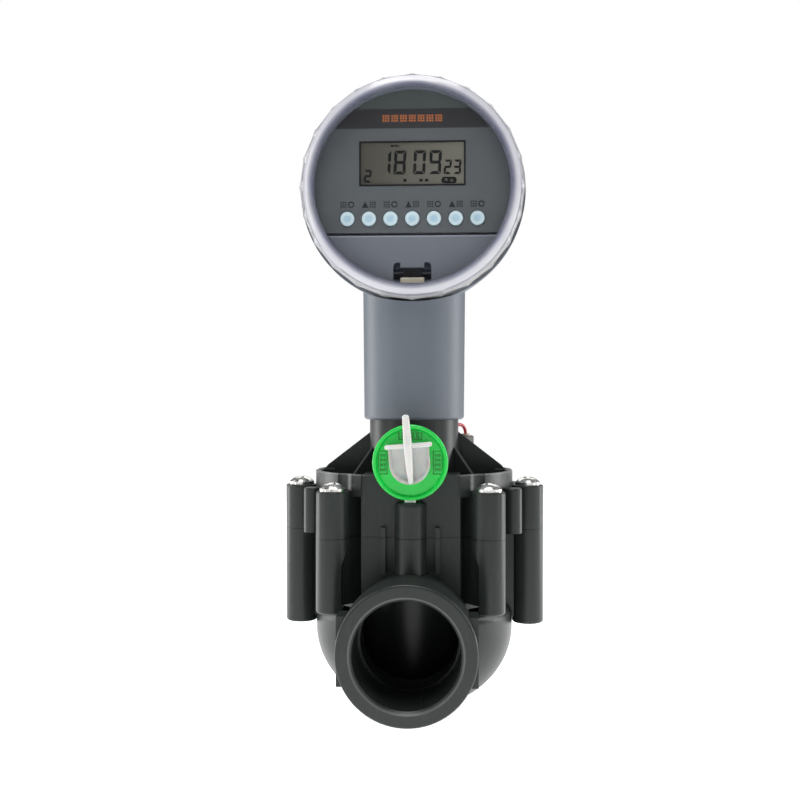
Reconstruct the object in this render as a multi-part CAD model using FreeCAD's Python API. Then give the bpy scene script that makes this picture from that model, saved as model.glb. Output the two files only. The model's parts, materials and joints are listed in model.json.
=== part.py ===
import FreeCAD, Part
import os
from math import atan2, cos, degrees, pi, radians, sin, tan

# Battery irrigation timer on a globe valve, in millimetres.
# Working frame: X to the right, Y along the flow from inlet to outlet, Z up, with its zero where the
# flow axis crosses the tower axis. Every solid is moved along Y when it is written, so that the
# part's own origin lies on the flow axis where the inlet bore's wall begins.

V = FreeCAD.Vector
X_AXIS = V(1, 0, 0)
Y_AXIS = V(0, 1, 0)
Z_AXIS = V(0, 0, 1)
GAP = 0.3                   # between pieces that move past each other
FIT = 0.1                   # radial play of a guided shaft
PLAY = 0.05                 # radial play of a pin in its hole

# ports
MOUTH_Y = 83.5              # each port's face, from the tower axis
MOUTH_CHAMFER = 1.5
BORE_R = 22.4
SOCKET_L = 30.0             # length of the pipe socket's wall in each port
WAY_R = 21.4                # water way beyond the socket
HUB_R = 29.2
HUB_L = 21.0
NECK_R = 27.4
LUG_X = 29.4
LUG_Z = 14.5
LUG_SETBACK = 8.0

# bowl
BOWL_R = 46.7
BOWL_DEPTH = 39.5
BOWL_CENTRE_Z = -3.0
BOWL_TOP_Z = 7.0
CHAMBER_R = 39.5
CHAMBER_Z = 14.0
WALL = 4.6
SEAT_R = 20.5
SEAT_WALL = 4.0
SEAT_Z = 33.5
ELBOW_Z = -14.0

# joint between body and bonnet
PARTING_Z = 42.7
FLANGE_TOP_Z = 63.4
BOLT_CIRCLE_R = 54.2
BOLTS = ((-39.5, 9.7), (39.5, 9.7), (-90, -2.0), (90, -2.0), (-140, 9.7), (140, 9.7))   # angle, foot z
BOSS_R = 7.4
SHORT_BOSS_R = 4.2
SHORT_BOSS_CIRCLE_R = 50.5
SHORT_BOSS_ANGLES = (-66, 66, -115, 115)
WEB_T = 6.0
WEB_UP = 3.0                # from a boss's foot to its web
SCREW_R = 2.95
SCREW_HEAD_R = 5.9
SCREW_HEAD_H = 3.9
INSERT_R = 4.3
INSERT_Z = 28.0
DIAPHRAGM_R = 33.0
RIM_R = 37.0
RIM_T = 2.5

# front block, passage column and ribs
BLOCK_X = 22.0
BLOCK_Y = -39.6
BLOCK_TOP_Z = 70.0
COLUMN_R = 7.0
COLUMN_Y = -40.4
COLUMN_TOP_Z = 58.7
COLUMN_FOOT_Z = 27.0
RIB_X = 12.0
RIB_T = 2.0
RIB_Y = -43.0
RIB_TOP_Z = 47.4

# bonnet top
DISH_R = 47.0
DISH_T = 2.2
DISH_TOP_Z = 70.6
SCALLOP_R = 8.6
TOWER_R = 21.2
TOWER_TOP_Z = 105.0
DOME_R = 14.5
DOME_TOP_Z = 100.0
CEILING_Z = 57.0
GUSSET_Y = 5.0
GUSSET_T = 2.5
FRONT_GUSSET_T = 3.0
FRONT_GUSSET_TOP_Z = 81.5
FRONT_GUSSET_R = 34.5
FRONT_GUSSET_ANGLES = (-23, 23, 157, 203)

# diaphragm group
GUIDE_R = 5.0
GUIDE_TOP_Z = 88.0
GUIDE_BUSH_Z = 80.0
CENTRE_HOLE_R = 3.2
PLATE_T = 3.0

# selector
DIAL_Z = 76.3
DIAL_R = 16.7
DIAL_BACK_Y = -40.6
DIAL_FACE_Y = -44.2
DIAL_RIM_Y = -45.8
KEY_W = 4.9
KEY_TOP = 1.6               # above the dial's lowest point
SPINDLE_R = 5.0
SPINDLE_END_Y = -17.2
O_RING_Y = (-33.0, -26.0)
HANDLE_TILT = 4.5           # degrees anticlockwise from upright, seen from the front
HANDLE_W = 18.3
HANDLE_BACK_Y = -45.6
HANDLE_FRONT_Y = -51.6
HANDLE_TOP = 8.6            # from the dial's centre
BAR_W = 20.6
BAR_T = 2.2
FIN_T = 3.4
FIN_TIP = 21.4
FIN_FRONT_Y = -57.6

# solenoid
SOL_X = 18.5
SOL_Y = 26.9
SOL_R = 10.5
SOL_Z0 = 66.0
SOL_Z1 = 86.0
TUBE_R = 4.4
PLUNGER_R = 3.4
PLUNGER_Z = 62.5
PLUNGER_TOP_Z = 75.0
LEAD_R = 0.8
LEAD_HOLES = ((24.8, 23.4), (19.1, 20.0))
GROOVES = ((15.5, 11.0), (11.0, 15.4))
GROOVE_R = 1.9
GROOVE_Z = 88.0

# timer
STEM_Z = 94.6
STEM_R0 = 23.85
STEM_R1 = 24.5
STEM_BORE_R = 21.6
STEM_SEAL_Z = 99.0
HEAD_Z = 201.5
CUP_R = 50.4
CUP_WALL = 2.9
RIM_FLANGE_R = 52.4
CUP_BACK_Y = 24.5
RIM_BACK_Y = -9.0
RIM_FRONT_Y = -15.5
NECK_END_Y = -24.0
THREAD_R = 49.2
PANEL_R = 45.0
PANEL_Y = -22.0
PANEL_T = 3.5
COVER_R = 51.9
COVER_Y = -31.0
COVER_T = 2.2
COVER_FACETS = 24
COVER_END_Y = -17.2

# face
LCD_W = 49.0
LCD_H = 20.7
LCD_UP = 11.2
BUTTON_R = 3.35
BUTTON_PITCH = 10.0
BUTTON_DOWN = 14.2
BUTTON_COUNT = 7
BUTTON_TRAVEL = 0.8
BOARD_Y = -13.0
BOARD_T = 1.6
BOARD_SCREWS = ((-31, 24), (31, 24), (-37.5, -4), (37.5, -4))
DOOR_TOP = -20.7            # the door's upper edge, from the head's centre
DOOR_T = 1.8
DOOR_BEVEL = 0.8
HINGE_X = 29.0
HINGE_DOWN = -22.4
HINGE_Y = -19.2
KNUCKLE_R = 1.2
PIN_R = 0.6
LATCH_W = 17.5
LATCH_SLOT = 3.2
BATTERY_L = 46.0
BATTERY_D = 25.6
BATTERY_H = 16.6
BATTERY_TOP = -21.3


def box(x0, x1, y0, y1, z0, z1):
    """A block between two opposite corners."""
    return Part.makeBox(x1 - x0, y1 - y0, z1 - z0, V(x0, y0, z0))


def rod(r, start, end, axis=Z_AXIS, x=0.0, y=0.0, z=0.0):
    """A cylinder from start to end along axis, on the line through x, y, z."""
    base = V(x, y, z) + axis * start
    return Part.makeCylinder(r, end - start, base, axis)


def ring(r_out, r_in, start, end, axis=Z_AXIS, x=0.0, y=0.0, z=0.0):
    """A tube from start to end along axis."""
    outer = rod(r_out, start, end, axis, x, y, z)
    return outer.cut(rod(r_in, start - 1, end + 1, axis, x, y, z))


def join(*solids):
    """One solid from several that touch."""
    return solids[0].multiFuse(list(solids[1:])).removeSplitter()


def face_of(edges):
    return Part.Face(Part.Wire(edges))


def lathe(points, axis=Z_AXIS, z=0.0):
    """A turned solid from (radius, height) points, about Z or about the Y line at height z."""
    if axis == Z_AXIS:
        outline = [V(r, 0, h) for r, h in points]
    else:
        outline = [V(r, h, z) for r, h in points]
    face = Part.Face(Part.makePolygon(outline + outline[:1]))
    return face.revolve(V(0, 0, z), axis, 360)


def plate(points, y0, y1):
    """An outline in X and Z, as thick as y0 to y1."""
    outline = [V(x, y0, z) for x, z in points]
    return Part.Face(Part.makePolygon(outline + outline[:1])).extrude(V(0, y1 - y0, 0))


def torus(ring_r, wire_r, centre, axis=Z_AXIS):
    return Part.makeTorus(ring_r, wire_r, centre, axis)


def turned(solid, angle, centre=V(0, 0, 0), axis=Z_AXIS):
    copy = solid.copy()
    copy.rotate(centre, axis, angle)
    return copy


def moved(solid, x=0.0, y=0.0, z=0.0):
    return solid.translated(V(x, y, z))


def both_sides(solid):
    """The solid and its mirror image across the YZ plane."""
    return [solid, solid.mirror(V(0, 0, 0), X_AXIS)]


def rounded(solid, radius, test):
    """Round the edges whose centre passes the test."""
    edges = [edge for edge in solid.Edges if test(edge.CenterOfMass, edge)]
    return solid.makeFillet(radius, edges)


def at_angle(radius, angle):
    """X and Y of a point on a circle; the angle counts from the inlet side, to the right."""
    return radius * sin(radians(angle)), -radius * cos(radians(angle))


def coil_spring(mean_r, wire_r, start, end, turns, x=0.0, y=0.0):
    """A compression spring along Z between two levels, its wire ends included."""
    pitch = (end - start - 2 * wire_r) / turns
    helix = Part.makeHelix(pitch, pitch * turns, mean_r)
    section = Part.Wire(Part.makeCircle(wire_r, V(mean_r, 0, 0), Y_AXIS))
    spring = Part.Wire(helix).makePipeShell([section], True, True)
    return moved(spring, x, y, start + wire_r)


def lead(points, radius):
    """A round lead: straight runs joined by arcs as large as the runs allow."""
    edges = []
    here = points[0]
    for before, corner, after in zip(points, points[1:], points[2:]):
        back = (before - corner).normalize()
        ahead = (after - corner).normalize()
        half_turn = (pi - back.getAngle(ahead)) / 2
        reach = 0.45 * min((corner - before).Length, (after - corner).Length)
        bend_r = reach / tan(half_turn)
        middle = (back + ahead).normalize()
        arc_start = corner + back * reach
        arc_end = corner + ahead * reach
        arc_middle = corner + middle * (bend_r / cos(half_turn) - bend_r)
        edges.append(Part.LineSegment(here, arc_start).toShape())
        edges.append(Part.Arc(arc_start, arc_middle, arc_end).toShape())
        here = arc_end
    edges.append(Part.LineSegment(here, points[-1]).toShape())
    path = Part.Wire(edges)
    section = Part.Wire(Part.makeCircle(radius, points[0], points[1] - points[0]))
    return path.makePipeShell([section], True, True)


def write(name, solid):
    shifted = moved(solid, y=MOUTH_Y - MOUTH_CHAMFER)
    shifted.exportStep("parts/" + name + ".step")


# ---- valve body ----

def dished(radius, depth, top_z):
    """A round bowl's solid: an elliptical bottom below a straight wall."""
    centre = V(0, 0, BOWL_CENTRE_Z)
    rim = V(radius, 0, BOWL_CENTRE_Z)
    foot = V(0, 0, BOWL_CENTRE_Z - depth)
    top = V(radius, 0, top_z)
    top_centre = V(0, 0, top_z)
    bottom = Part.ArcOfEllipse(Part.Ellipse(rim, foot, centre), 0, pi / 2).toShape()
    edges = [bottom]
    for start, end in ((foot, top_centre), (top_centre, top), (top, rim)):
        edges.append(Part.LineSegment(start, end).toShape())
    return face_of(edges).revolve(V(0, 0, 0), Z_AXIS, 360)


def port_outside(side):
    """Hub with two wrench flats, and the neck that joins it to the bowl; side is -1 at the inlet."""
    hub = rod(HUB_R, MOUTH_Y - HUB_L, MOUTH_Y, Y_AXIS)
    hub = rounded(hub, 1.0, lambda c, e: abs(c.y - MOUTH_Y) < 0.1 and e.Curve.TypeId == "Part::GeomCircle")
    lug = box(-LUG_X, LUG_X, MOUTH_Y - HUB_L, MOUTH_Y - LUG_SETBACK, -LUG_Z, LUG_Z)
    neck = rod(NECK_R, 20, MOUTH_Y - HUB_L, Y_AXIS)
    port = join(hub, lug, neck)
    return turned(port, 180) if side < 0 else port


def boss_web(angle, z0, z1, reach=BOLT_CIRCLE_R):
    web = box(-WEB_T / 2, WEB_T / 2, -reach, -CHAMBER_R + 6, z0, z1)
    return turned(web, angle)


def body_boss(angle, foot_z):
    x, y = at_angle(BOLT_CIRCLE_R, angle)
    boss = rod(BOSS_R, foot_z, PARTING_Z, x=x, y=y)
    boss = rounded(boss, 1.2, lambda c, e: abs(c.z - foot_z) < 0.1)
    if abs(angle) < 45:
        boss = boss.cut(inner_taper(angle))
    return boss


def inner_taper(angle):
    """Clears the foot of a front or rear boss beside the hub."""
    near = HUB_R - 4
    far = HUB_R + 0.9
    outline = [(near, 0), (far, 0), (far, 31), (HUB_R - 2, 39), (near, 39)]
    cutter = plate(outline, -BOLT_CIRCLE_R - BOSS_R, -20)
    return cutter if angle > 0 else cutter.mirror(V(0, 0, 0), X_AXIS)


def front_ribs(z0, z1):
    rib = box(RIB_X - RIB_T / 2, RIB_X + RIB_T / 2, RIB_Y, BLOCK_Y + 1, z0, z1)
    return both_sides(rib)


def port_bore(inner_end):
    """Pipe socket that opens at the mouth, and the narrower way from its stop to inner_end."""
    socket = rod(BORE_R, MOUTH_Y - MOUTH_CHAMFER - SOCKET_L, MOUTH_Y + 1, Y_AXIS)
    return join(socket, rod(WAY_R, inner_end, MOUTH_Y, Y_AXIS))


def water_way():
    """Everything hollow in the body, with the seat pipe and its elbow left standing."""
    shaft = rod(BOWL_R - WALL, BOWL_CENTRE_Z, CHAMBER_Z - WALL)
    chamber = join(dished(BOWL_R - WALL, BOWL_DEPTH - WALL, CHAMBER_Z - WALL), shaft,
                   rod(DIAPHRAGM_R, 0, PARTING_Z + 1))
    inlet = turned(port_bore(20), 180)
    pipe = rod(SEAT_R + SEAT_WALL, -40, SEAT_Z)
    elbow = rod(WAY_R + SEAT_WALL, 0, 60, Y_AXIS)
    around = join(chamber, inlet).cut(join(pipe, elbow))
    through = join(rod(SEAT_R, ELBOW_Z, SEAT_Z + 1), Part.makeSphere(SEAT_R, V(0, 0, ELBOW_Z)), port_bore(3))
    return around, through


def mouth_chamfer(side):
    outline = [(0, MOUTH_Y - MOUTH_CHAMFER), (BORE_R, MOUTH_Y - MOUTH_CHAMFER),
               (BORE_R + MOUTH_CHAMFER, MOUTH_Y), (BORE_R + MOUTH_CHAMFER, MOUTH_Y + 1), (0, MOUTH_Y + 1)]
    cone = lathe(outline, Y_AXIS)
    return turned(cone, 180) if side < 0 else cone


def rim_groove():
    """Seat of the diaphragm's rim, in the top of the body."""
    return rod(RIM_R, PARTING_Z - RIM_T, PARTING_Z + 1)


def valve_body():
    bowl = dished(BOWL_R, BOWL_DEPTH, BOWL_TOP_Z)
    bowl = rounded(bowl, 4.0, lambda c, e: abs(c.z - BOWL_TOP_Z) < 0.1)
    chamber = rod(CHAMBER_R, 0, PARTING_Z)
    block = box(-BLOCK_X, BLOCK_X, BLOCK_Y, 0, 0, PARTING_Z)
    column = rod(COLUMN_R, COLUMN_FOOT_Z, PARTING_Z, y=COLUMN_Y)
    outside = [bowl, chamber, block, turned(block, 180), column, port_outside(-1), port_outside(1)]
    outside += front_ribs(COLUMN_FOOT_Z, PARTING_Z)
    for angle, foot_z in BOLTS:
        outside.append(body_boss(angle, foot_z))
        outside.append(boss_web(angle, foot_z + WEB_UP, PARTING_Z))
    around, through = water_way()
    solid = join(*outside).cut(around).cut(through).cut(rim_groove())
    for side in (-1, 1):
        solid = solid.cut(mouth_chamfer(side))
    for angle, foot_z in BOLTS:
        x, y = at_angle(BOLT_CIRCLE_R, angle)
        solid = solid.cut(rod(INSERT_R, INSERT_Z - 3, PARTING_Z + 1, x=x, y=y))
    return solid


def threaded_inserts():
    sleeves = []
    for angle, _ in BOLTS:
        x, y = at_angle(BOLT_CIRCLE_R, angle)
        sleeves.append(ring(INSERT_R, SCREW_R + PLAY, INSERT_Z, PARTING_Z - 0.5, x=x, y=y))
    return Part.makeCompound(sleeves)


# ---- bonnet ----

def dish_wall():
    """Shallow wall round the bonnet's top, which steps inwards round each screw head."""
    wall = ring(DISH_R, DISH_R - DISH_T, FLANGE_TOP_Z - 2, DISH_TOP_Z)
    hollows = []
    pockets = []
    for angle, _ in BOLTS:
        x, y = at_angle(BOLT_CIRCLE_R, angle)
        hollows.append(rod(SCALLOP_R, FLANGE_TOP_Z, DISH_TOP_Z + 1, x=x, y=y))
        pockets.append(rod(SCALLOP_R + DISH_T, FLANGE_TOP_Z - 1, DISH_TOP_Z, x=x, y=y))
    steps = join(*pockets).common(rod(DISH_R, FLANGE_TOP_Z - 1, DISH_TOP_Z))
    return join(wall, steps).cut(join(*hollows))


def bonnet_boss(angle):
    x, y = at_angle(BOLT_CIRCLE_R, angle)
    boss = rod(BOSS_R, PARTING_Z, FLANGE_TOP_Z, x=x, y=y)
    return rounded(boss, 0.8, lambda c, e: abs(c.z - FLANGE_TOP_Z) < 0.1)


def short_boss(angle):
    x, y = at_angle(SHORT_BOSS_CIRCLE_R, angle)
    boss = rod(SHORT_BOSS_R, PARTING_Z, FLANGE_TOP_Z, x=x, y=y)
    return rounded(boss, 0.8, lambda c, e: abs(c.z - FLANGE_TOP_Z) < 0.1)


def gussets():
    """Two tall ribs from the tower to the dish's wall and four low ones nearer the front and rear."""
    foot_z = FLANGE_TOP_Z - 1
    outline = [(TOWER_R - 3, foot_z), (TOWER_R - 3, 88.5), (TOWER_R, 88.5), (42, 72.5), (43.5, DISH_TOP_Z),
               (43.5, foot_z)]
    side = plate(outline, GUSSET_Y - GUSSET_T / 2, GUSSET_Y + GUSSET_T / 2)
    low_outline = [(TOWER_R - 4, foot_z), (TOWER_R - 4, FRONT_GUSSET_TOP_Z), (TOWER_R, FRONT_GUSSET_TOP_Z),
                   (FRONT_GUSSET_R, FLANGE_TOP_Z), (FRONT_GUSSET_R, foot_z)]
    low = plate(low_outline, -FRONT_GUSSET_T / 2, FRONT_GUSSET_T / 2)
    ribs = []
    for angle in FRONT_GUSSET_ANGLES:
        ribs.append(turned(low, angle))
    return both_sides(side) + ribs


def lead_slots():
    """Grooves in the tower's side that let the two leads up inside the stem."""
    slots = []
    for (x, y), (from_x, from_y) in zip(GROOVES, LEAD_HOLES):
        out = box(0, 12, -GROOVE_R, GROOVE_R, GROOVE_Z, TOWER_TOP_Z + 1)
        slots.append(rod(GROOVE_R, GROOVE_Z, TOWER_TOP_Z + 1, x=x, y=y))
        slots.append(moved(turned(out, degrees(atan2(from_y - y, from_x - x))), x, y))
    return slots


def solenoid_socket():
    return rod(SOL_R + 1.6, FLANGE_TOP_Z - 2, SOL_Z0, x=SOL_X, y=SOL_Y)


def bonnet():
    flange = rod(CHAMBER_R, PARTING_Z, FLANGE_TOP_Z)
    deck = rod(DISH_R, FLANGE_TOP_Z - 2.6, FLANGE_TOP_Z)
    tower = rod(TOWER_R, FLANGE_TOP_Z - 1, TOWER_TOP_Z)
    tower = rounded(tower, 1.0, lambda c, e: abs(c.z - TOWER_TOP_Z) < 0.1)
    block = box(-BLOCK_X, BLOCK_X, BLOCK_Y, 0, PARTING_Z, BLOCK_TOP_Z)
    low_block = box(-BLOCK_X, BLOCK_X, 0, -BLOCK_Y, PARTING_Z, FLANGE_TOP_Z)
    selector_boss = rod(DIAL_R - 2.5, DIAL_BACK_Y + 0.4, 0, Y_AXIS, z=DIAL_Z)
    column = rod(COLUMN_R, PARTING_Z, COLUMN_TOP_Z, y=COLUMN_Y)
    column = rounded(column, 2.0, lambda c, e: abs(c.z - COLUMN_TOP_Z) < 0.1)
    outside = [flange, deck, dish_wall(), tower, block, low_block, selector_boss, column, solenoid_socket()]
    outside += front_ribs(PARTING_Z, RIB_TOP_Z)
    outside += gussets()
    for angle, _ in BOLTS:
        outside.append(bonnet_boss(angle))
        outside.append(boss_web(angle, PARTING_Z, FLANGE_TOP_Z - 2))
    for angle in SHORT_BOSS_ANGLES:
        outside.append(short_boss(angle))
        outside.append(boss_web(angle, PARTING_Z, FLANGE_TOP_Z - 2, SHORT_BOSS_CIRCLE_R))
    solid = join(*outside)
    hollow = [rod(DIAPHRAGM_R, PARTING_Z - 1, CEILING_Z), rod(DOME_R, CEILING_Z - 1, DOME_TOP_Z)]
    hollow.append(rod(SPINDLE_R + PLAY, DIAL_BACK_Y - 1, SPINDLE_END_Y + GAP, Y_AXIS, z=DIAL_Z))
    hollow.append(box(-BLOCK_X, BLOCK_X, -DISH_R - 1, BLOCK_Y, COLUMN_TOP_Z, DISH_TOP_Z + 1))
    hollow.append(ring(TOWER_R + 1, TOWER_R - 1.5, STEM_SEAL_Z - 1.0, STEM_SEAL_Z + 1.0))
    hollow.append(rod(TUBE_R + 1.0, CEILING_Z + 2, SOL_Z0 + 1, x=SOL_X, y=SOL_Y))
    hollow.append(rod(1.2, CEILING_Z - 1, CEILING_Z + 3, x=SOL_X, y=SOL_Y - 4))
    hollow += lead_slots()
    for angle, _ in BOLTS:
        x, y = at_angle(BOLT_CIRCLE_R, angle)
        hollow.append(rod(SCREW_R + GAP, PARTING_Z - 1, FLANGE_TOP_Z + 1, x=x, y=y))
        hollow.append(rod(SCALLOP_R - 1, FLANGE_TOP_Z, DISH_TOP_Z + 1, x=x, y=y))
    for cutter in hollow:
        solid = solid.cut(cutter)
    guide = ring(GUIDE_R + 2.4, GUIDE_R + FIT, GUIDE_BUSH_Z, DOME_TOP_Z + 1)
    nozzle = ring(1.8, 0.8, CEILING_Z + 1, PLUNGER_Z - 1.65, x=SOL_X, y=SOL_Y)
    return join(solid, guide, nozzle)


def bonnet_screw():
    """Pan head with a domed top and a cross recess."""
    dome = Part.makeSphere(SCREW_HEAD_R * 1.35, V(0, 0, SCREW_HEAD_H - SCREW_HEAD_R * 1.35))
    head = rod(SCREW_HEAD_R, 0, SCREW_HEAD_H).common(dome)
    cross = join(box(-3.1, 3.1, -0.65, 0.65, SCREW_HEAD_H - 1.9, SCREW_HEAD_H + 1),
                 box(-0.65, 0.65, -3.1, 3.1, SCREW_HEAD_H - 1.9, SCREW_HEAD_H + 1))
    shank = rod(SCREW_R, INSERT_Z + 1 - FLANGE_TOP_Z, 0.5)
    return moved(join(head.cut(cross), shank), z=FLANGE_TOP_Z)


def bonnet_screws():
    screws = []
    for number, (angle, _) in enumerate(BOLTS):
        x, y = at_angle(BOLT_CIRCLE_R, angle)
        screws.append(moved(turned(bonnet_screw(), 25 + 40 * number), x, y))
    return Part.makeCompound(screws)


# ---- diaphragm group ----

def diaphragm():
    top = SEAT_Z + RIM_T
    outline = [(CENTRE_HOLE_R, SEAT_Z), (SEAT_R + SEAT_WALL, SEAT_Z), (DIAPHRAGM_R - 2.4, PARTING_Z - RIM_T),
               (RIM_R, PARTING_Z - RIM_T), (RIM_R, PARTING_Z), (DIAPHRAGM_R - 3.6, PARTING_Z),
               (SEAT_R + SEAT_WALL - 1.2, top), (CENTRE_HOLE_R, top)]
    return lathe(outline)


def diaphragm_plate():
    base = SEAT_Z + RIM_T
    outline = [(CENTRE_HOLE_R, base), (21.5, base), (21.5, base + PLATE_T), (8.4, base + PLATE_T),
               (8.4, base + PLATE_T + 5), (CENTRE_HOLE_R, base + PLATE_T + 5)]
    return lathe(outline)


def diaphragm_guide():
    """Stem that keeps the diaphragm square; its lower end is tapped for the retainer screw."""
    base = SEAT_Z + RIM_T + PLATE_T + 5
    stem = rod(GUIDE_R, base, GUIDE_TOP_Z)
    return stem.cut(rod(1.9, base - 1, base + 16))


def diaphragm_retainer():
    return ring(14.0, 2.1, SEAT_Z - 3.0, SEAT_Z)


def retainer_screw():
    base = SEAT_Z - 3.0
    head = rod(4.0, base - 2.6, base)
    head = rounded(head, 1.0, lambda c, e: abs(c.z - base + 2.6) < 0.1)
    shank = rod(1.85, base - 1, SEAT_Z + RIM_T + PLATE_T + 18)
    return join(head, shank).cut(box(-3, 3, -0.5, 0.5, base - 3, base - 1.6))


def main_spring():
    return coil_spring(11.2, 0.9, SEAT_Z + RIM_T + PLATE_T + 0.05, DOME_TOP_Z - 0.05, 9)


# ---- selector ----

def label_box(angle):
    """A raised frame on the dial's face."""
    frame = box(-4.4, 4.4, DIAL_FACE_Y - 0.5, DIAL_FACE_Y + 0.2, 10.0, 14.4)
    inner = box(-3.9, 3.9, DIAL_FACE_Y - 1, DIAL_FACE_Y + 0.5, 10.5, 13.9)
    return moved(turned(frame.cut(inner), angle, axis=Y_AXIS), z=DIAL_Z)


def selector_dial():
    outline = [(SPINDLE_R + GAP, DIAL_BACK_Y), (DIAL_R, DIAL_BACK_Y), (DIAL_R, DIAL_RIM_Y + 0.6),
               (DIAL_R - 0.6, DIAL_RIM_Y), (DIAL_R - 1.6, DIAL_RIM_Y), (DIAL_R - 2.1, DIAL_FACE_Y),
               (SPINDLE_R + GAP, DIAL_FACE_Y)]
    dial = lathe(outline, Y_AXIS, DIAL_Z)
    return join(dial, label_box(0), label_box(90), label_box(-90)).cut(dial_key())


def dial_key():
    """Stands on the column and reaches up behind the dial's rim, so that the dial can't turn."""
    low = DIAL_Z - DIAL_R
    foot = box(-KEY_W / 2, KEY_W / 2, DIAL_RIM_Y + 0.8, DIAL_BACK_Y - 0.2, COLUMN_TOP_Z, low + 0.2)
    tongue = box(-KEY_W / 2, KEY_W / 2, DIAL_RIM_Y + 2.0, DIAL_BACK_Y - 0.2, low, low + KEY_TOP)
    return join(foot, tongue)


def selector_handle():
    """A hollow rounded body closed by a top bar, with one long upright fin through its middle."""
    half = HANDLE_W / 2
    round_z = HANDLE_TOP - BAR_T - half + 1.2

    def cup(inset, y0, y1):
        edge = half - inset
        low = rod(edge, y0, y1, Y_AXIS, z=round_z)
        return join(low, box(-edge, edge, y0, y1, round_z, HANDLE_TOP))

    shell = cup(0, HANDLE_FRONT_Y, HANDLE_BACK_Y).cut(cup(1.4, HANDLE_FRONT_Y - 1, HANDLE_BACK_Y - 1.6))
    bar = box(-BAR_W / 2, BAR_W / 2, HANDLE_FRONT_Y - 0.6, HANDLE_BACK_Y, HANDLE_TOP - BAR_T, HANDLE_TOP)
    foot = round_z - half + 0.6
    tip = FIN_TIP
    outline = [V(0, HANDLE_BACK_Y, foot), V(0, FIN_FRONT_Y + 2.5, foot), V(0, FIN_FRONT_Y, foot + 4),
               V(0, FIN_FRONT_Y + 1.5, tip), V(0, FIN_FRONT_Y + 6.0, tip), V(0, HANDLE_BACK_Y, HANDLE_TOP)]
    fin = Part.Face(Part.makePolygon(outline + outline[:1])).extrude(V(FIN_T, 0, 0))
    fin = moved(fin, x=-FIN_T / 2)
    handle = join(shell, bar, fin)
    upright = moved(handle, z=DIAL_Z)
    return turned(upright, -HANDLE_TILT, V(0, 0, DIAL_Z), Y_AXIS)


def selector_spindle():
    """Spindle with two O-ring grooves and a cross hole that switches the pilot water."""
    spindle = rod(SPINDLE_R, HANDLE_BACK_Y, SPINDLE_END_Y, Y_AXIS, z=DIAL_Z)
    for y in O_RING_Y:
        spindle = spindle.cut(ring(SPINDLE_R + 1, SPINDLE_R - 1.3, y - 1.1, y + 1.1, Y_AXIS, z=DIAL_Z))
    return spindle.cut(rod(1.2, DIAL_Z - 8, DIAL_Z + 8, y=SPINDLE_END_Y - 4))


def selector_o_rings():
    rings = [torus(SPINDLE_R - 0.65, 0.65, V(0, y, DIAL_Z), Y_AXIS) for y in O_RING_Y]
    return Part.makeCompound(rings)


# ---- solenoid, standing on the bonnet behind the tower ----

def solenoid_case():
    """Cup-shaped case, open below, closed round the core tube's top."""
    case = ring(SOL_R, SOL_R - 1.2, SOL_Z0, SOL_Z1, x=SOL_X, y=SOL_Y)
    lid = ring(SOL_R - 0.5, TUBE_R + PLAY, SOL_Z1 - 1.6, SOL_Z1, x=SOL_X, y=SOL_Y)
    case = rounded(join(case, lid), 1.0, lambda c, e: abs(c.z - SOL_Z1) < 0.1 and e.Length > 50)
    for x, y in LEAD_HOLES:
        case = case.cut(rod(LEAD_R + 0.9, SOL_Z1 - 4, SOL_Z1 + 1, x=x, y=y))
    return case


def solenoid_coil():
    """Bobbin with its winding as one ring with two flanges."""
    winding = ring(SOL_R - 2.0, TUBE_R + PLAY, SOL_Z0 + 0.4, SOL_Z1 - 4.2, x=SOL_X, y=SOL_Y)
    low = ring(SOL_R - 1.3, TUBE_R + PLAY, SOL_Z0 + 0.2, SOL_Z0 + 1.4, x=SOL_X, y=SOL_Y)
    return join(winding, low, moved(low, z=SOL_Z1 - SOL_Z0 - 5.6))


def solenoid_core_tube():
    """Guide tube, closed at its top, that stands in the bonnet on an O-ring."""
    tube = rod(TUBE_R, CEILING_Z + 6, SOL_Z1 + 0.6, x=SOL_X, y=SOL_Y)
    bore = rod(PLUNGER_R + FIT, CEILING_Z + 5, SOL_Z1 - 2.5, x=SOL_X, y=SOL_Y)
    return tube.cut(bore)


def solenoid_plunger():
    plunger = rod(PLUNGER_R, PLUNGER_Z, PLUNGER_TOP_Z, x=SOL_X, y=SOL_Y)
    pocket = rod(1.9, PLUNGER_TOP_Z - 4, PLUNGER_TOP_Z + 1, x=SOL_X, y=SOL_Y)
    return plunger.cut(pocket)


def plunger_seal():
    return rod(2.6, PLUNGER_Z - 1.6, PLUNGER_Z, x=SOL_X, y=SOL_Y)


def plunger_spring():
    return coil_spring(1.5, 0.25, PLUNGER_TOP_Z - 3.95, SOL_Z1 - 2.55, 7, SOL_X, SOL_Y)


def solenoid_o_ring():
    return torus(TUBE_R + 0.5, 0.45, V(SOL_X, SOL_Y, CEILING_Z + 7))


def lead_grommets():
    sleeves = []
    for x, y in LEAD_HOLES:
        sleeve = ring(LEAD_R + 0.9, LEAD_R, SOL_Z1 - 3.9, SOL_Z1, x=x, y=y)
        collar = ring(LEAD_R + 1.5, LEAD_R, SOL_Z1, SOL_Z1 + 1.0, x=x, y=y)
        sleeves.append(join(sleeve, collar))
    return Part.makeCompound(sleeves)


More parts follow.
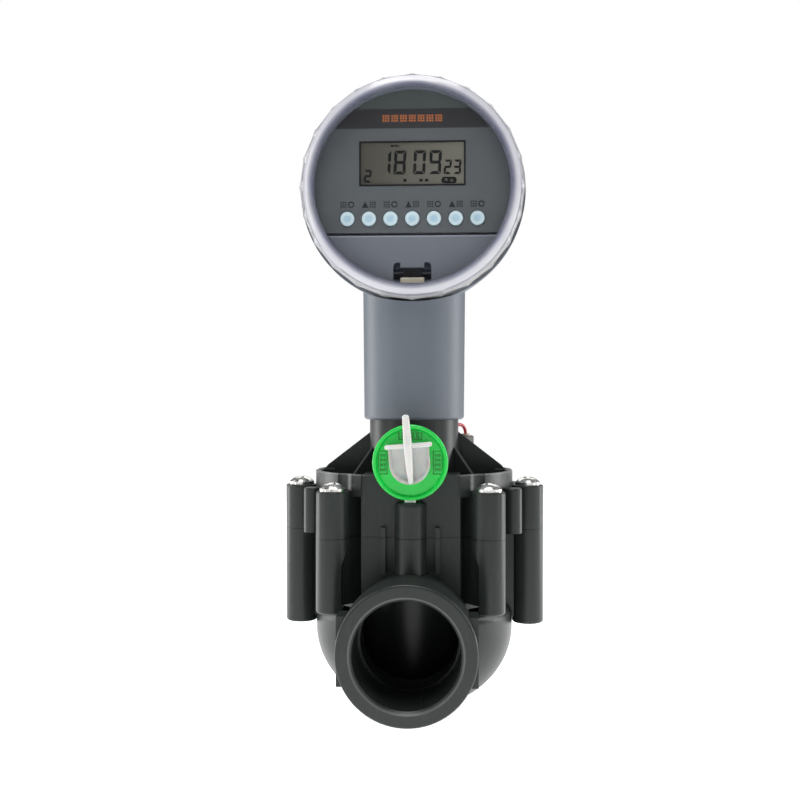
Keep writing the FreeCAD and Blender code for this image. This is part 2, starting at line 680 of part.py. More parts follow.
def solenoid_lead(number):
    """From the coil, up through the case, under the stem's edge and up the tower's groove to the board."""
    x, y = LEAD_HOLES[number]
    groove_x, groove_y = GROOVES[number]
    shift = -5.0 * number
    points = [V(x, y, SOL_Z1 - 3.8), V(x, y, SOL_Z1 + 5.0), V(groove_x, groove_y, SOL_Z1 + 6.8),
              V(groove_x, groove_y, TOWER_TOP_Z + 6), V(9 + shift, 15.5, 146), V(9 + shift, 15.5, 184),
              V(7 + shift, 10, 197), V(7 + shift, BOARD_Y + BOARD_T + 0.5, 201)]
    return lead(points, LEAD_R)


# ---- timer housing ----

def timer_housing():
    """Round cup with its neck, and the stem, as one moulding."""
    back = CUP_BACK_Y
    outline = [(0, back), (CUP_R - 6, back), (CUP_R - 1.8, back - 1.8), (CUP_R, back - 6),
               (CUP_R, RIM_BACK_Y), (RIM_FLANGE_R, RIM_BACK_Y),
               (RIM_FLANGE_R, RIM_FRONT_Y), (THREAD_R, RIM_FRONT_Y),
               (THREAD_R, NECK_END_Y), (PANEL_R + 0.1, NECK_END_Y), (PANEL_R + 0.1, PANEL_Y + PANEL_T),
               (PANEL_R - 2.4, PANEL_Y + PANEL_T), (PANEL_R - 2.4, PANEL_Y + PANEL_T + 1.6),
               (CUP_R - CUP_WALL, PANEL_Y + PANEL_T + 4), (CUP_R - CUP_WALL, back - 6),
               (CUP_R - CUP_WALL - 4, back - CUP_WALL), (0, back - CUP_WALL)]
    cup = lathe(outline, Y_AXIS, HEAD_Z)
    saddle = rod(RIM_FLANGE_R, -40, RIM_FRONT_Y, Y_AXIS, z=HEAD_Z)
    inside = rod(CUP_R - 1, RIM_FRONT_Y, 40, Y_AXIS, z=HEAD_Z)
    stem = Part.makeCone(STEM_R0, STEM_R1, HEAD_Z - 40 - STEM_Z, V(0, 0, STEM_Z))
    stem = rounded(stem, 1.4, lambda c, e: abs(c.z - STEM_Z) < 0.1 and e.Length > 20)
    stem = stem.cut(saddle).cut(inside)
    solid = join(stem, cup)
    solid = solid.cut(rod(STEM_BORE_R, STEM_Z - 1, HEAD_Z - CUP_R - 4))
    well_room = box(-BATTERY_L / 2 - 2, BATTERY_L / 2 + 3.2, PANEL_Y + PANEL_T - 1.1, 0,
                    HEAD_Z + BATTERY_TOP - BATTERY_H - 1.8, HEAD_Z - 10)
    return solid.cut(well_room).cut(box(-14, 14, 2, 18, HEAD_Z - CUP_R - 6, HEAD_Z - CUP_R + 12))


def stem_o_ring():
    """Sits on the tower's shoulder and steadies the stem."""
    return torus(TOWER_R - 0.5, 0.85, V(0, 0, STEM_SEAL_Z))


def round_panel(y0, y1, upper):
    """The part of the round face above or below the door's upper edge."""
    disc = rod(PANEL_R, y0, y1, Y_AXIS, z=HEAD_Z)
    edge = HEAD_Z + DOOR_TOP
    keep = box(-60, 60, y0, y1, edge, HEAD_Z + 60) if upper else box(-60, 60, y0, y1, HEAD_Z - 60, edge)
    return disc.common(keep)


def button_x(number):
    return BUTTON_PITCH * (number - (BUTTON_COUNT - 1) / 2)


def face_panel():
    """Front plate with the LCD window and button holes, its posts, and the battery well behind the door."""
    back_y = PANEL_Y + PANEL_T
    frame = round_panel(PANEL_Y + DOOR_T + GAP, back_y, False)
    plate_solid = join(round_panel(PANEL_Y, back_y, True), frame)
    x0 = -BATTERY_L / 2 - GAP
    x1 = BATTERY_L / 2 + GAP
    top = HEAD_Z + BATTERY_TOP + GAP
    low = top - BATTERY_H - 2 * GAP
    depth = back_y + BATTERY_D + 0.6
    well = box(x0 - 1.2, x1, back_y - 1, depth + 1.2, low - 1.0, top + 1.0)
    room = box(x0, x1 + 2, PANEL_Y, depth, low, top)
    posts = []
    for x, up in BOARD_SCREWS:
        posts.append(ring(2.8, 1.0, back_y - 0.5, BOARD_Y, Y_AXIS, x=x, z=HEAD_Z + up))
    solid = join(plate_solid, well, *posts).cut(room)
    solid = solid.cut(box(-LCD_W / 2, LCD_W / 2, PANEL_Y - 1, back_y + 1,
                          HEAD_Z + LCD_UP - LCD_H / 2, HEAD_Z + LCD_UP + LCD_H / 2))
    for number in range(BUTTON_COUNT):
        x = button_x(number)
        solid = solid.cut(rod(BUTTON_R + GAP, PANEL_Y - 1, back_y + 1, Y_AXIS, x=x, z=HEAD_Z - BUTTON_DOWN))
    for side in (-1, 1):
        x = side * HINGE_X
        z = HEAD_Z + HINGE_DOWN
        solid = solid.cut(box(x - 3.2, x + 3.2, PANEL_Y + DOOR_T, back_y + 1, z - 2.4, z + 2.4))
        solid = solid.cut(rod(PIN_R, -6, 6, X_AXIS, x=x, y=HINGE_Y, z=z))
    latch = LATCH_W / 2 + 0.5
    return solid.cut(box(-latch, latch, PANEL_Y, back_y + 1, HEAD_Z - PANEL_R - 1, low + 0.1))


def lcd_frame():
    """Thin dark rim let into the window's edge."""
    half_w = LCD_W / 2
    half_h = LCD_H / 2
    z = HEAD_Z + LCD_UP
    outer = box(-half_w, half_w, PANEL_Y - 0.2, PANEL_Y + PANEL_T, z - half_h, z + half_h)
    return outer.cut(box(-half_w + 0.7, half_w - 0.7, PANEL_Y - 1, PANEL_Y + PANEL_T + 1,
                         z - half_h + 0.7, z + half_h - 0.7))


def lcd_box(inset, y0, y1):
    z = HEAD_Z + LCD_UP
    half_w = LCD_W / 2 - inset
    half_h = LCD_H / 2 - inset
    return box(-half_w, half_w, y0, y1, z - half_h, z + half_h)


def lcd_glass():
    return lcd_box(0.7, PANEL_Y + 0.5, PANEL_Y + 3.0)


def lcd_holder():
    """Frame that carries the glass and the contact strips on the board."""
    holder = lcd_box(-1.2, PANEL_Y + PANEL_T, BOARD_Y)
    return holder.cut(lcd_box(0.9, PANEL_Y, BOARD_Y + 1))


def contact_strips():
    """Two rubber strips that join the glass to the board's pads."""
    strips = []
    for up in (-1, 1):
        z = HEAD_Z + LCD_UP + up * (LCD_H / 2 - 2.4)
        strips.append(box(-22, 22, PANEL_Y + 3.0, BOARD_Y, z - 1.0, z + 1.0))
    return Part.makeCompound(strips)


def circuit_board():
    board = rod(42.5, BOARD_Y, BOARD_Y + BOARD_T, Y_AXIS, z=HEAD_Z)
    board = board.common(box(-60, 60, BOARD_Y, BOARD_Y + BOARD_T, HEAD_Z + DOOR_TOP + 2.2, HEAD_Z + 36))
    for x, up in BOARD_SCREWS:
        board = board.cut(rod(1.3, BOARD_Y - 1, BOARD_Y + 4, Y_AXIS, x=x, z=HEAD_Z + up))
    return board


def board_components():
    """Chip, buzzer, two capacitors and a crystal on the board's rear."""
    y = BOARD_Y + BOARD_T
    chip = box(-8, 8, y, y + 2.0, HEAD_Z + 4, HEAD_Z + 20)
    buzzer = rod(6.0, y, y + 6.5, Y_AXIS, x=22, z=HEAD_Z + 10)
    big = rod(4.0, y, y + 11, Y_AXIS, x=-22, z=HEAD_Z + 16)
    small = rod(2.5, y, y + 8, Y_AXIS, x=-22, z=HEAD_Z + 6)
    crystal = box(14, 19, y, y + 3.5, HEAD_Z - 8, HEAD_Z + 2)
    return Part.makeCompound([chip, buzzer, big, small, crystal])


def key_switches():
    switches = []
    for number in range(BUTTON_COUNT):
        x = button_x(number)
        z = HEAD_Z - BUTTON_DOWN
        body = box(x - 2.6, x + 2.6, BOARD_Y - 1.6, BOARD_Y, z - 2.6, z + 2.6)
        tip = rod(1.5, BOARD_Y - 2.2, BOARD_Y - 1.5, Y_AXIS, x=x, z=z)
        switches.append(join(body, tip))
    return Part.makeCompound(switches)


def board_screws():
    screws = []
    y = BOARD_Y + BOARD_T
    for x, up in BOARD_SCREWS:
        z = HEAD_Z + up
        head = rod(2.1, y, y + 1.5, Y_AXIS, x=x, z=z)
        shank = rod(1.0, PANEL_Y + PANEL_T, y + 0.2, Y_AXIS, x=x, z=z)
        slot = box(x - 1.5, x + 1.5, y + 0.8, y + 3, z - 0.3, z + 0.3)
        screws.append(join(head, shank).cut(slot))
    return Part.makeCompound(screws)


def button(number):
    """Cap, the flange that keeps it behind the panel, and the nub that meets its switch."""
    x = button_x(number)
    z = HEAD_Z - BUTTON_DOWN
    back_y = PANEL_Y + PANEL_T + GAP
    cap = rod(BUTTON_R, PANEL_Y - 0.9, back_y + 0.5, Y_AXIS, x=x, z=z)
    cap = rounded(cap, 0.5, lambda c, e: abs(c.y - PANEL_Y + 0.9) < 0.1)
    flange = rod(BUTTON_R + 1.0, back_y, back_y + 0.8, Y_AXIS, x=x, z=z)
    nub = rod(1.5, back_y, BOARD_Y - 2.2 - BUTTON_TRAVEL - 0.2, Y_AXIS, x=x, z=z)
    return join(cap, flange, nub)


# ---- battery door and battery ----

def battery_door():
    """Lower segment of the face, with a notch for its latch and two hinge knuckles."""
    disc = rod(PANEL_R - GAP, PANEL_Y, PANEL_Y + DOOR_T, Y_AXIS, z=HEAD_Z)
    edge = HEAD_Z + DOOR_TOP - 2 * GAP
    door = disc.common(box(-60, 60, PANEL_Y, PANEL_Y + DOOR_T, HEAD_Z - 60, edge))
    bevel = Part.makePolygon([V(-60, PANEL_Y, edge), V(-60, PANEL_Y, edge - DOOR_BEVEL),
                              V(-60, PANEL_Y + DOOR_BEVEL, edge), V(-60, PANEL_Y, edge)])
    door = door.cut(Part.Face(bevel).extrude(V(120, 0, 0)))
    half = LATCH_W / 2
    notch = box(-half, half, PANEL_Y - 1, 0, HEAD_Z - 60, HEAD_Z - 34.3)
    notch = rounded(notch, 2.0, lambda c, e: abs(c.z - HEAD_Z + 34.3) < 0.1 and abs(c.x) > half - 0.1)
    tongue_x = half - LATCH_SLOT
    tongue = box(-tongue_x, tongue_x, PANEL_Y, PANEL_Y + DOOR_T, HEAD_Z - 36.7, HEAD_Z - 34.0)
    solid = join(door.cut(notch), tongue)
    for side in (-1, 1):
        x = side * HINGE_X
        z = HEAD_Z + HINGE_DOWN
        knuckle = rod(KNUCKLE_R, -2.6, 2.6, X_AXIS, x=x, y=HINGE_Y, z=z)
        arm = box(x - 2.6, x + 2.6, PANEL_Y + DOOR_T - 0.4, HINGE_Y, z - KNUCKLE_R, z + KNUCKLE_R / 2)
        solid = join(solid, knuckle, arm).cut(rod(PIN_R + PLAY, -4, 4, X_AXIS, x=x, y=HINGE_Y, z=z))
    return solid


def door_hinge_pins():
    pins = []
    for side in (-1, 1):
        start, end = sorted((side * -4.6, side * 5.8))
        pins.append(rod(PIN_R, start, end, X_AXIS, x=side * HINGE_X, y=HINGE_Y, z=HEAD_Z + HINGE_DOWN))
    return Part.makeCompound(pins)


def battery_latch():
    """Pale tab at the foot of the notch; it slides up to leave the housing's neck."""
    half = LATCH_W / 2 - LATCH_SLOT
    tab = box(-half, half, PANEL_Y + 0.1, PANEL_Y + DOOR_T, HEAD_Z - 44.0, HEAD_Z - 41.3)
    return rounded(tab, 0.4, lambda c, e: abs(c.y - PANEL_Y - 0.1) < 0.05)


def latch_leaf():
    """Steel leaf on the door's rear that carries the tab and returns it."""
    half = LATCH_W / 2 - LATCH_SLOT - 1.2
    y = PANEL_Y + DOOR_T
    return box(-half, half, y, y + 0.3, HEAD_Z - 43.2, HEAD_Z - 34.6)


def battery():
    top = HEAD_Z + BATTERY_TOP
    y0 = PANEL_Y + PANEL_T + GAP
    body = box(-BATTERY_L / 2, BATTERY_L / 2, y0, y0 + BATTERY_D, top - BATTERY_H, top)
    return rounded(body, 1.6, lambda c, e: abs(c.x) < 1)


def battery_terminals():
    """Large and small snap studs on the battery's end."""
    studs = []
    y = PANEL_Y + PANEL_T + GAP + BATTERY_D / 2
    z = HEAD_Z + BATTERY_TOP - BATTERY_H / 2
    for offset, radius in ((-6.35, 2.8), (6.35, 3.6)):
        studs.append(rod(radius, BATTERY_L / 2, BATTERY_L / 2 + 1.4, X_AXIS, y=y + offset, z=z))
    return Part.makeCompound(studs)


def battery_snap():
    y = PANEL_Y + PANEL_T + GAP + BATTERY_D / 2
    z = HEAD_Z + BATTERY_TOP - BATTERY_H / 2
    x = BATTERY_L / 2 + 1.4
    return rounded(box(x, x + 1.6, y - 11, y + 11, z - 5, z + 5), 0.6, lambda c, e: c.x > x + 1.5)


# ---- clear cover ----

def clear_cover():
    """Flat window with a round shoulder and a faceted grip skirt."""
    shoulder_r = COVER_R - 7.2
    wall_r = THREAD_R + GAP + 0.05

    inner_y = COVER_Y + COVER_T

    def shoulder(r, y):
        wide = r - shoulder_r
        middle = V(shoulder_r + wide * 0.74, y + wide * 0.3, 0)
        return Part.Arc(V(shoulder_r, y, 0), middle, V(r, y + wide * 0.92, 0))

    def line(start, end):
        return Part.LineSegment(start, end).toShape()

    outer_arc = shoulder(COVER_R, COVER_Y)
    inner_arc = shoulder(wall_r, inner_y)
    edges = [line(V(0, COVER_Y, 0), V(shoulder_r, COVER_Y, 0)), outer_arc.toShape()]
    edges.append(line(outer_arc.EndPoint, V(COVER_R, COVER_END_Y, 0)))
    edges.append(line(V(COVER_R, COVER_END_Y, 0), V(wall_r, COVER_END_Y, 0)))
    edges.append(line(V(wall_r, COVER_END_Y, 0), inner_arc.EndPoint))
    edges.append(inner_arc.toShape())
    edges.append(line(V(shoulder_r, inner_y, 0), V(0, inner_y, 0)))
    edges.append(line(V(0, inner_y, 0), V(0, COVER_Y, 0)))
    face = face_of(edges)
    cover = moved(face.revolve(V(0, 0, 0), Y_AXIS, 360), z=HEAD_Z)
    corner_r = COVER_R + 0.02
    corners = []
    for facet in range(COVER_FACETS + 1):
        angle = radians(360 * facet / COVER_FACETS)
        corners.append(V(corner_r * cos(angle), COVER_Y - 1, HEAD_Z + corner_r * sin(angle)))
    prism = Part.Face(Part.makePolygon(corners)).extrude(V(0, 30, 0))
    return cover.common(prism)


def cover_seal():
    return ring(COVER_R - 0.5, THREAD_R + GAP, COVER_END_Y, RIM_FRONT_Y - 0.2, Y_AXIS, z=HEAD_Z)


PIECES = {
    "valve_body": valve_body,
    "bonnet": bonnet,
    "bonnet_screws": bonnet_screws,
    "threaded_inserts": threaded_inserts,
    "diaphragm": diaphragm,
    "diaphragm_plate": diaphragm_plate,
    "diaphragm_guide": diaphragm_guide,
    "diaphragm_retainer": diaphragm_retainer,
    "retainer_screw": retainer_screw,
    "main_spring": main_spring,
    "selector_dial": selector_dial,
    "dial_key": dial_key,
    "selector_handle": selector_handle,
    "selector_spindle": selector_spindle,
    "selector_o_rings": selector_o_rings,
    "solenoid_case": solenoid_case,
    "solenoid_coil": solenoid_coil,
    "solenoid_core_tube": solenoid_core_tube,
    "solenoid_plunger": solenoid_plunger,
    "plunger_seal": plunger_seal,
    "plunger_spring": plunger_spring,
    "solenoid_o_ring": solenoid_o_ring,
    "lead_grommets": lead_grommets,
    "timer_housing": timer_housing,
    "stem_o_ring": stem_o_ring,
    "face_panel": face_panel,
    "lcd_frame": lcd_frame,
    "lcd_glass": lcd_glass,
    "lcd_holder": lcd_holder,
    "contact_strips": contact_strips,
    "circuit_board": circuit_board,
    "board_components": board_components,
    "key_switches": key_switches,
    "board_screws": board_screws,
    "battery_door": battery_door,
    "door_hinge_pins": door_hinge_pins,
    "battery_latch": battery_latch,
    "latch_leaf": latch_leaf,
    "battery": battery,
    "battery_terminals": battery_terminals,
    "battery_snap": battery_snap,
    "clear_cover": clear_cover,
    "cover_seal": cover_seal,
}


def build():
    os.makedirs("parts", exist_ok=True)
    for name, make in PIECES.items():
        write(name, make())
    write("red_lead", solenoid_lead(0))
    write("black_lead", solenoid_lead(1))
    for number in range(BUTTON_COUNT):
        write("button_" + str(number + 1), button(number))


build()
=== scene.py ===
import json
from math import atan2, cos, pi, radians, sin

import bmesh
import bpy
from bpy.props import FloatProperty, FloatVectorProperty, PointerProperty
from mathutils import Matrix, Vector


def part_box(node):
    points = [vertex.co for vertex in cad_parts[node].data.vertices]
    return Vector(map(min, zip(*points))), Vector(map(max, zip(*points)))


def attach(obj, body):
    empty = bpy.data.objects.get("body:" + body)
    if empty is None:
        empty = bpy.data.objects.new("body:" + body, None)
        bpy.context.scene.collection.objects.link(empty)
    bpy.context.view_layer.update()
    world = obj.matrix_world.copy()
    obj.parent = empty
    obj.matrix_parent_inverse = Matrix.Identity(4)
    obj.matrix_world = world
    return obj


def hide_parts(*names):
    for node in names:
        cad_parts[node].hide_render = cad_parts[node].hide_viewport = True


bl_info = {
    "name": "Irrigation timer valve",
    "version": (1, 0, 0),
    "blender": (4, 5, 0),
    "location": "View3D > Sidebar > Irrigation timer",
    "description": "Dresses a packed irrigation timer valve with shells, display, marks and finishes",
    "category": "Object",
}

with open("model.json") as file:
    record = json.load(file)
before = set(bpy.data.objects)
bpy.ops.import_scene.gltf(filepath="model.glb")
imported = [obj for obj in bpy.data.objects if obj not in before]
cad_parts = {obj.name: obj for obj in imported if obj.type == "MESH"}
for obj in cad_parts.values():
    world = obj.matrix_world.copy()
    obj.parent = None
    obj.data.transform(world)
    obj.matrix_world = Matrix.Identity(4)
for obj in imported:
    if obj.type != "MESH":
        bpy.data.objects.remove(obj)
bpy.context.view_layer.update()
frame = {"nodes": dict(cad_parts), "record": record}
NODES = frame["nodes"]
BODY_OF = {node: body for body, nodes in frame["record"]["behaviour"]["bodies"].items() for node in nodes}
SLOT_OF = {part["node"]: part["material_slot"] for part in frame["record"]["subparts"]}

# ---- places, mostly worked out from the frame, some given ----

MM = 0.001


def middle(node):
    low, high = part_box(node)
    return (low + high) / 2


PORT_LOW, PORT_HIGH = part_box("valve_body")
AXIS_Y = (PORT_LOW.y + PORT_HIGH.y) / 2             # tower axis, halfway between the two ports' faces
FLOOR_Z = PORT_LOW.z
DISH_TOP_Z = 70.6 * MM
PARTING_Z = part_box("bonnet")[0].z
BORE_R = 22.4 * MM
MOUTH_R = BORE_R + 1.5 * MM
HEAD = middle("cover_seal")
HEAD_Z = HEAD.z
PANEL_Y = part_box("face_panel")[0].y
COVER_LOW, COVER_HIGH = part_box("clear_cover")
COVER_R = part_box("cover_seal")[1].x + 0.5 * MM
LCD = middle("lcd_glass")
GLASS_LOW, GLASS_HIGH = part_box("lcd_glass")
DIAL = middle("selector_dial")
DIAL_LOW, DIAL_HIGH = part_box("selector_dial")
DIAL_R = (DIAL_HIGH.x - DIAL_LOW.x) / 2
BUTTON_NODES = sorted(node for node in NODES if node.startswith("button_"))
BUTTON_PITCH = 10.0 * MM
BUTTON_DROP = 14.2 * MM     # from the face's centre down to the row's centre


# ---- what a user would change ----


class TimerColours(bpy.types.PropertyGroup):
    """Finish colours, as linear values."""

    valve: FloatVectorProperty(name="Valve", description="Black glass-filled nylon of body and bonnet",
                               subtype="COLOR", default=(0.019, 0.022, 0.021), min=0, max=1)
    housing: FloatVectorProperty(name="Housing", description="Blue-grey moulding of head and stem",
                                 subtype="COLOR", default=(0.135, 0.155, 0.185), min=0, max=1)
    panel: FloatVectorProperty(name="Panel", description="Printed front plate",
                               subtype="COLOR", default=(0.080, 0.090, 0.096), min=0, max=1)
    door: FloatVectorProperty(name="Door", description="Battery door",
                              subtype="COLOR", default=(0.150, 0.165, 0.195), min=0, max=1)
    dial: FloatVectorProperty(name="Dial", description="Selector dial",
                              subtype="COLOR", default=(0.008, 0.62, 0.07), min=0, max=1)
    marks: FloatVectorProperty(name="Marks", description="Printed marks in the band",
                               subtype="COLOR", default=(0.50, 0.145, 0.03), min=0, max=1)
    buttons: FloatVectorProperty(name="Buttons", description="Button caps",
                                 subtype="COLOR", default=(0.47, 0.61, 0.66), min=0, max=1)


class TimerSizes(bpy.types.PropertyGroup):
    """Sizes of the dressing that the frame doesn't fix."""

    band_low: FloatProperty(name="Band bottom", description="Dark band's lower edge, above the face's centre",
                            subtype="DISTANCE", unit="LENGTH", default=27.4 * MM)
    band_high: FloatProperty(name="Band top", description="Dark band's upper edge, above the face's centre",
                             subtype="DISTANCE", unit="LENGTH", default=36.4 * MM)
    digit_height: FloatProperty(name="Digit height", description="Height of the clock's large digits",
                                subtype="DISTANCE", unit="LENGTH", default=11.0 * MM)
    digit_lean: FloatProperty(name="Digit lean", description="Lean of the digits to the right",
                              subtype="ANGLE", unit="ROTATION", default=radians(3))
    floor_glow: FloatProperty(name="Floor glow", description="Light that the white floor gives off",
                              default=0.85)
    sky_glow: FloatProperty(name="Sky glow", description="Light from the white surroundings", default=0.17)
    camera_distance: FloatProperty(name="Camera distance", description="From the tower's axis to the camera",
                                   subtype="DISTANCE", unit="LENGTH", default=0.521)


def colours():
    return bpy.context.scene.timer_colours


def sizes():
    return bpy.context.scene.timer_sizes


# ---- shader maths ----


class Value:
    """A number or socket in a node tree; Python's operators add the Math nodes."""

    def __init__(self, tree, socket):
        self.tree = tree
        self.socket = socket

    def math(self, operation, *others, clamp=False):
        node = self.tree.nodes.new("ShaderNodeMath")
        node.operation = operation
        node.use_clamp = clamp
        for place, item in enumerate((self,) + others):
            connect(self.tree, node.inputs[place], item)
        return Value(self.tree, node.outputs[0])

    def swapped(self, operation, other):
        first = self.tree.nodes.new("ShaderNodeMath")
        first.operation = operation
        connect(self.tree, first.inputs[0], other)
        connect(self.tree, first.inputs[1], self)
        return Value(self.tree, first.outputs[0])

    def __add__(self, other):
        return self.math("ADD", other)

    __radd__ = __add__

    def __sub__(self, other):
        return self.math("SUBTRACT", other)

    def __rsub__(self, other):
        return self.swapped("SUBTRACT", other)

    def __mul__(self, other):
        return self.math("MULTIPLY", other)

    __rmul__ = __mul__

    def __truediv__(self, other):
        return self.math("DIVIDE", other)

    def above(self, edge, soft=0.05 * MM):
        """1 where the value is over edge, 0 under it, with a soft step."""
        return ((self - edge) / soft + 0.5).math("ADD", 0.0, clamp=True)

    def between(self, low, high, soft=0.05 * MM):
        return self.above(low, soft) * (1 - self.above(high, soft))


def connect(tree, socket, item):
    """Link a socket, or set its constant."""
    if isinstance(item, Value):
        tree.links.new(item.socket, socket)
    elif isinstance(item, bpy.types.NodeSocket):
        tree.links.new(item, socket)
    else:
        socket.default_value = item


class Finish:
    """A material under construction."""

    def __init__(self, name):
        self.material = bpy.data.materials.new(name)
        self.material.use_nodes = True
        self.tree = self.material.node_tree
        self.shader = self.tree.nodes["Principled BSDF"]
        self.place = self.node("ShaderNodeTexCoord").outputs["Object"]

    def node(self, kind, settings=None, inputs=None):
        node = self.tree.nodes.new(kind)
        for key, value in (settings or {}).items():
            setattr(node, key, value)
        for key, item in (inputs or {}).items():
            connect(self.tree, node.inputs[key], item)
        return node

    def axes(self):
        parts = self.node("ShaderNodeSeparateXYZ", inputs={0: self.place}).outputs
        return [Value(self.tree, part) for part in parts]

    def noise(self, scale, detail=3.0, roughness=0.55, stretch=None):
        place = self.place
        if stretch:
            place = self.node("ShaderNodeMapping", inputs={"Vector": self.place, "Scale": stretch}).outputs[0]
        node = self.node("ShaderNodeTexNoise", inputs={"Vector": place, "Scale": scale, "Detail": detail,
                                                       "Roughness": roughness})
        return Value(self.tree, node.outputs["Fac"])

    def cells(self, scale):
        node = self.node("ShaderNodeTexVoronoi", inputs={"Vector": self.place, "Scale": scale})
        return Value(self.tree, node.outputs["Distance"])

    def mix(self, factor, first, second):
        node = self.node("ShaderNodeMix", {"data_type": "RGBA"})
        connect(self.tree, node.inputs[0], factor)
        for place, colour in ((6, first), (7, second)):
            connect(self.tree, node.inputs[place], colour)
        return node.outputs[2]

    def bump(self, height, distance, strength=1.0):
        inputs = {"Height": height, "Distance": distance, "Strength": strength}
        return self.node("ShaderNodeBump", inputs=inputs).outputs[0]

    def set(self, **inputs):
        for key, item in inputs.items():
            connect(self.tree, self.shader.inputs[key.replace("_", " ")], item)
        return self


def rgb(colour, factor=1.0):
    return tuple(channel * factor for channel in tuple(colour)[:3]) + (1.0,)


FINISHES = {}


def finish(function):
    """Make each finish once, when it is first asked for."""

    def once(*arguments):
        key = (function.__name__,) + arguments
        if key not in FINISHES:
            FINISHES[key] = function(*arguments).material
        return FINISHES[key]

    return once


@finish
def moulded_black():
    """Glass-filled nylon: near black, faintly green, with a fine spark-eroded grain and flow marks; the
    lighter rings at the ports' mouths and the lighter lip of the dish are painted highlights.
    """
    made = Finish("moulded_black")
    base = colours().valve
    flow = made.noise(38.0, 4.0, stretch=(1.0, 1.0, 0.35))
    grain = made.noise(2600.0, 2.0)
    fibre = made.noise(900.0, 3.0, stretch=(1.0, 1.0, 0.12))
    tone = made.mix(flow, rgb(base, 0.78), rgb((base[0] * 1.25, base[1] * 1.42, base[2] * 1.34)))
    tone = made.mix(fibre.between(0.62, 0.9, 0.1) * 0.25, tone, rgb(base, 2.2))
    x, y, z = made.axes()
    seam = z.between(PARTING_Z - 0.22 * MM, PARTING_Z + 0.22 * MM, 0.12 * MM)
    tone = made.mix(seam * 0.85, tone, (0.002, 0.002, 0.002, 1.0))
    from_flow = (x * x + z * z).math("SQRT")
    from_face = (y - AXIS_Y).math("ABSOLUTE")
    # painted highlight: a lighter ring on the chamfer at each port's mouth
    mouth = from_flow.between(MOUTH_R - 0.75 * MM, MOUTH_R + 0.1 * MM, 0.2 * MM)
    mouth = mouth * from_face.above((PORT_HIGH.y - PORT_LOW.y) / 2 - 1.4 * MM)
    tone = made.mix(mouth * 0.6, tone, (0.16, 0.16, 0.16, 1.0))
    behind = y - AXIS_Y
    # painted highlight: a lighter line along the dish wall's top lip
    lip_highlight = z.between(DISH_TOP_Z - 0.5 * MM, DISH_TOP_Z + 0.3 * MM, 0.3 * MM)
    lip_highlight = lip_highlight * (x * x + behind * behind).math("SQRT").above(39.0 * MM)
    tone = made.mix(lip_highlight * 0.7, tone, (0.13, 0.14, 0.14, 1.0))
    rough = 0.24 + flow * 0.10 + grain * 0.10
    made.set(Base_Color=tone, Roughness=rough, Specular_IOR_Level=0.36)
    return made.set(Normal=made.bump(grain * 0.6 + fibre * 0.4 - seam * 6.0, 0.03 * MM, 0.55))


DOOR_HIGHLIGHT_BAND = (-22.6 * MM, -22.1 * MM)    # painted highlight: a pale line along the door's top bevel, from the face's centre
DOOR_SHADE_EDGE = -21.9 * MM                 # painted shade: the door is near black above this, along its top edge where it meets the panel


@finish
def moulded_grey(kind):
    """Blue-grey housing plastic with a fine satin grain; kind picks the housing or the door. The door has a
    painted highlight line along its top bevel and painted shade along its top edge.
    """
    made = Finish("moulded_" + kind)
    base = colours().housing if kind == "housing" else colours().door
    cloud = made.noise(24.0, 3.0)
    grain = made.noise(3200.0, 2.0)
    tone = made.mix(cloud, rgb(base, 0.84), rgb(base, 0.98))
    if kind == "door":
        z = made.axes()[2]
        up = z - HEAD_Z
        # painted highlight: pale line along the door's top bevel
        tone = made.mix(up.between(*DOOR_HIGHLIGHT_BAND, 0.1 * MM) * 0.6, tone, rgb(base, 2.2))
        # painted shade: the door's top edge near black where it meets the panel
        tone = made.mix(up.above(DOOR_SHADE_EDGE, 0.1 * MM), tone, (0.006, 0.006, 0.007, 1.0))
    made.set(Base_Color=tone, Roughness=0.36 + grain * 0.12 + cloud * 0.05)
    return made.set(Normal=made.bump(grain, 0.02 * MM, 0.5))


@finish
def printed_panel():
    """Front plate: matt grey film with a dark band and a greener segment above it."""
    made = Finish("printed_panel")
    base = colours().panel
    z = made.axes()[2]
    up = z - HEAD_Z
    grain = made.noise(2400.0, 2.0)
    cloud = made.noise(30.0, 2.0)
    grey = made.mix(cloud, rgb(base, 0.94), rgb(base, 1.06))
    tone = made.mix(up.above(sizes().band_high), grey, (0.055, 0.070, 0.066, 1.0))
    tone = made.mix(up.between(sizes().band_low, sizes().band_high), tone, (0.018, 0.018, 0.019, 1.0))
    made.set(Base_Color=tone, Roughness=0.42 + grain * 0.12)
    return made.set(Normal=made.bump(grain, 0.015 * MM, 0.4))


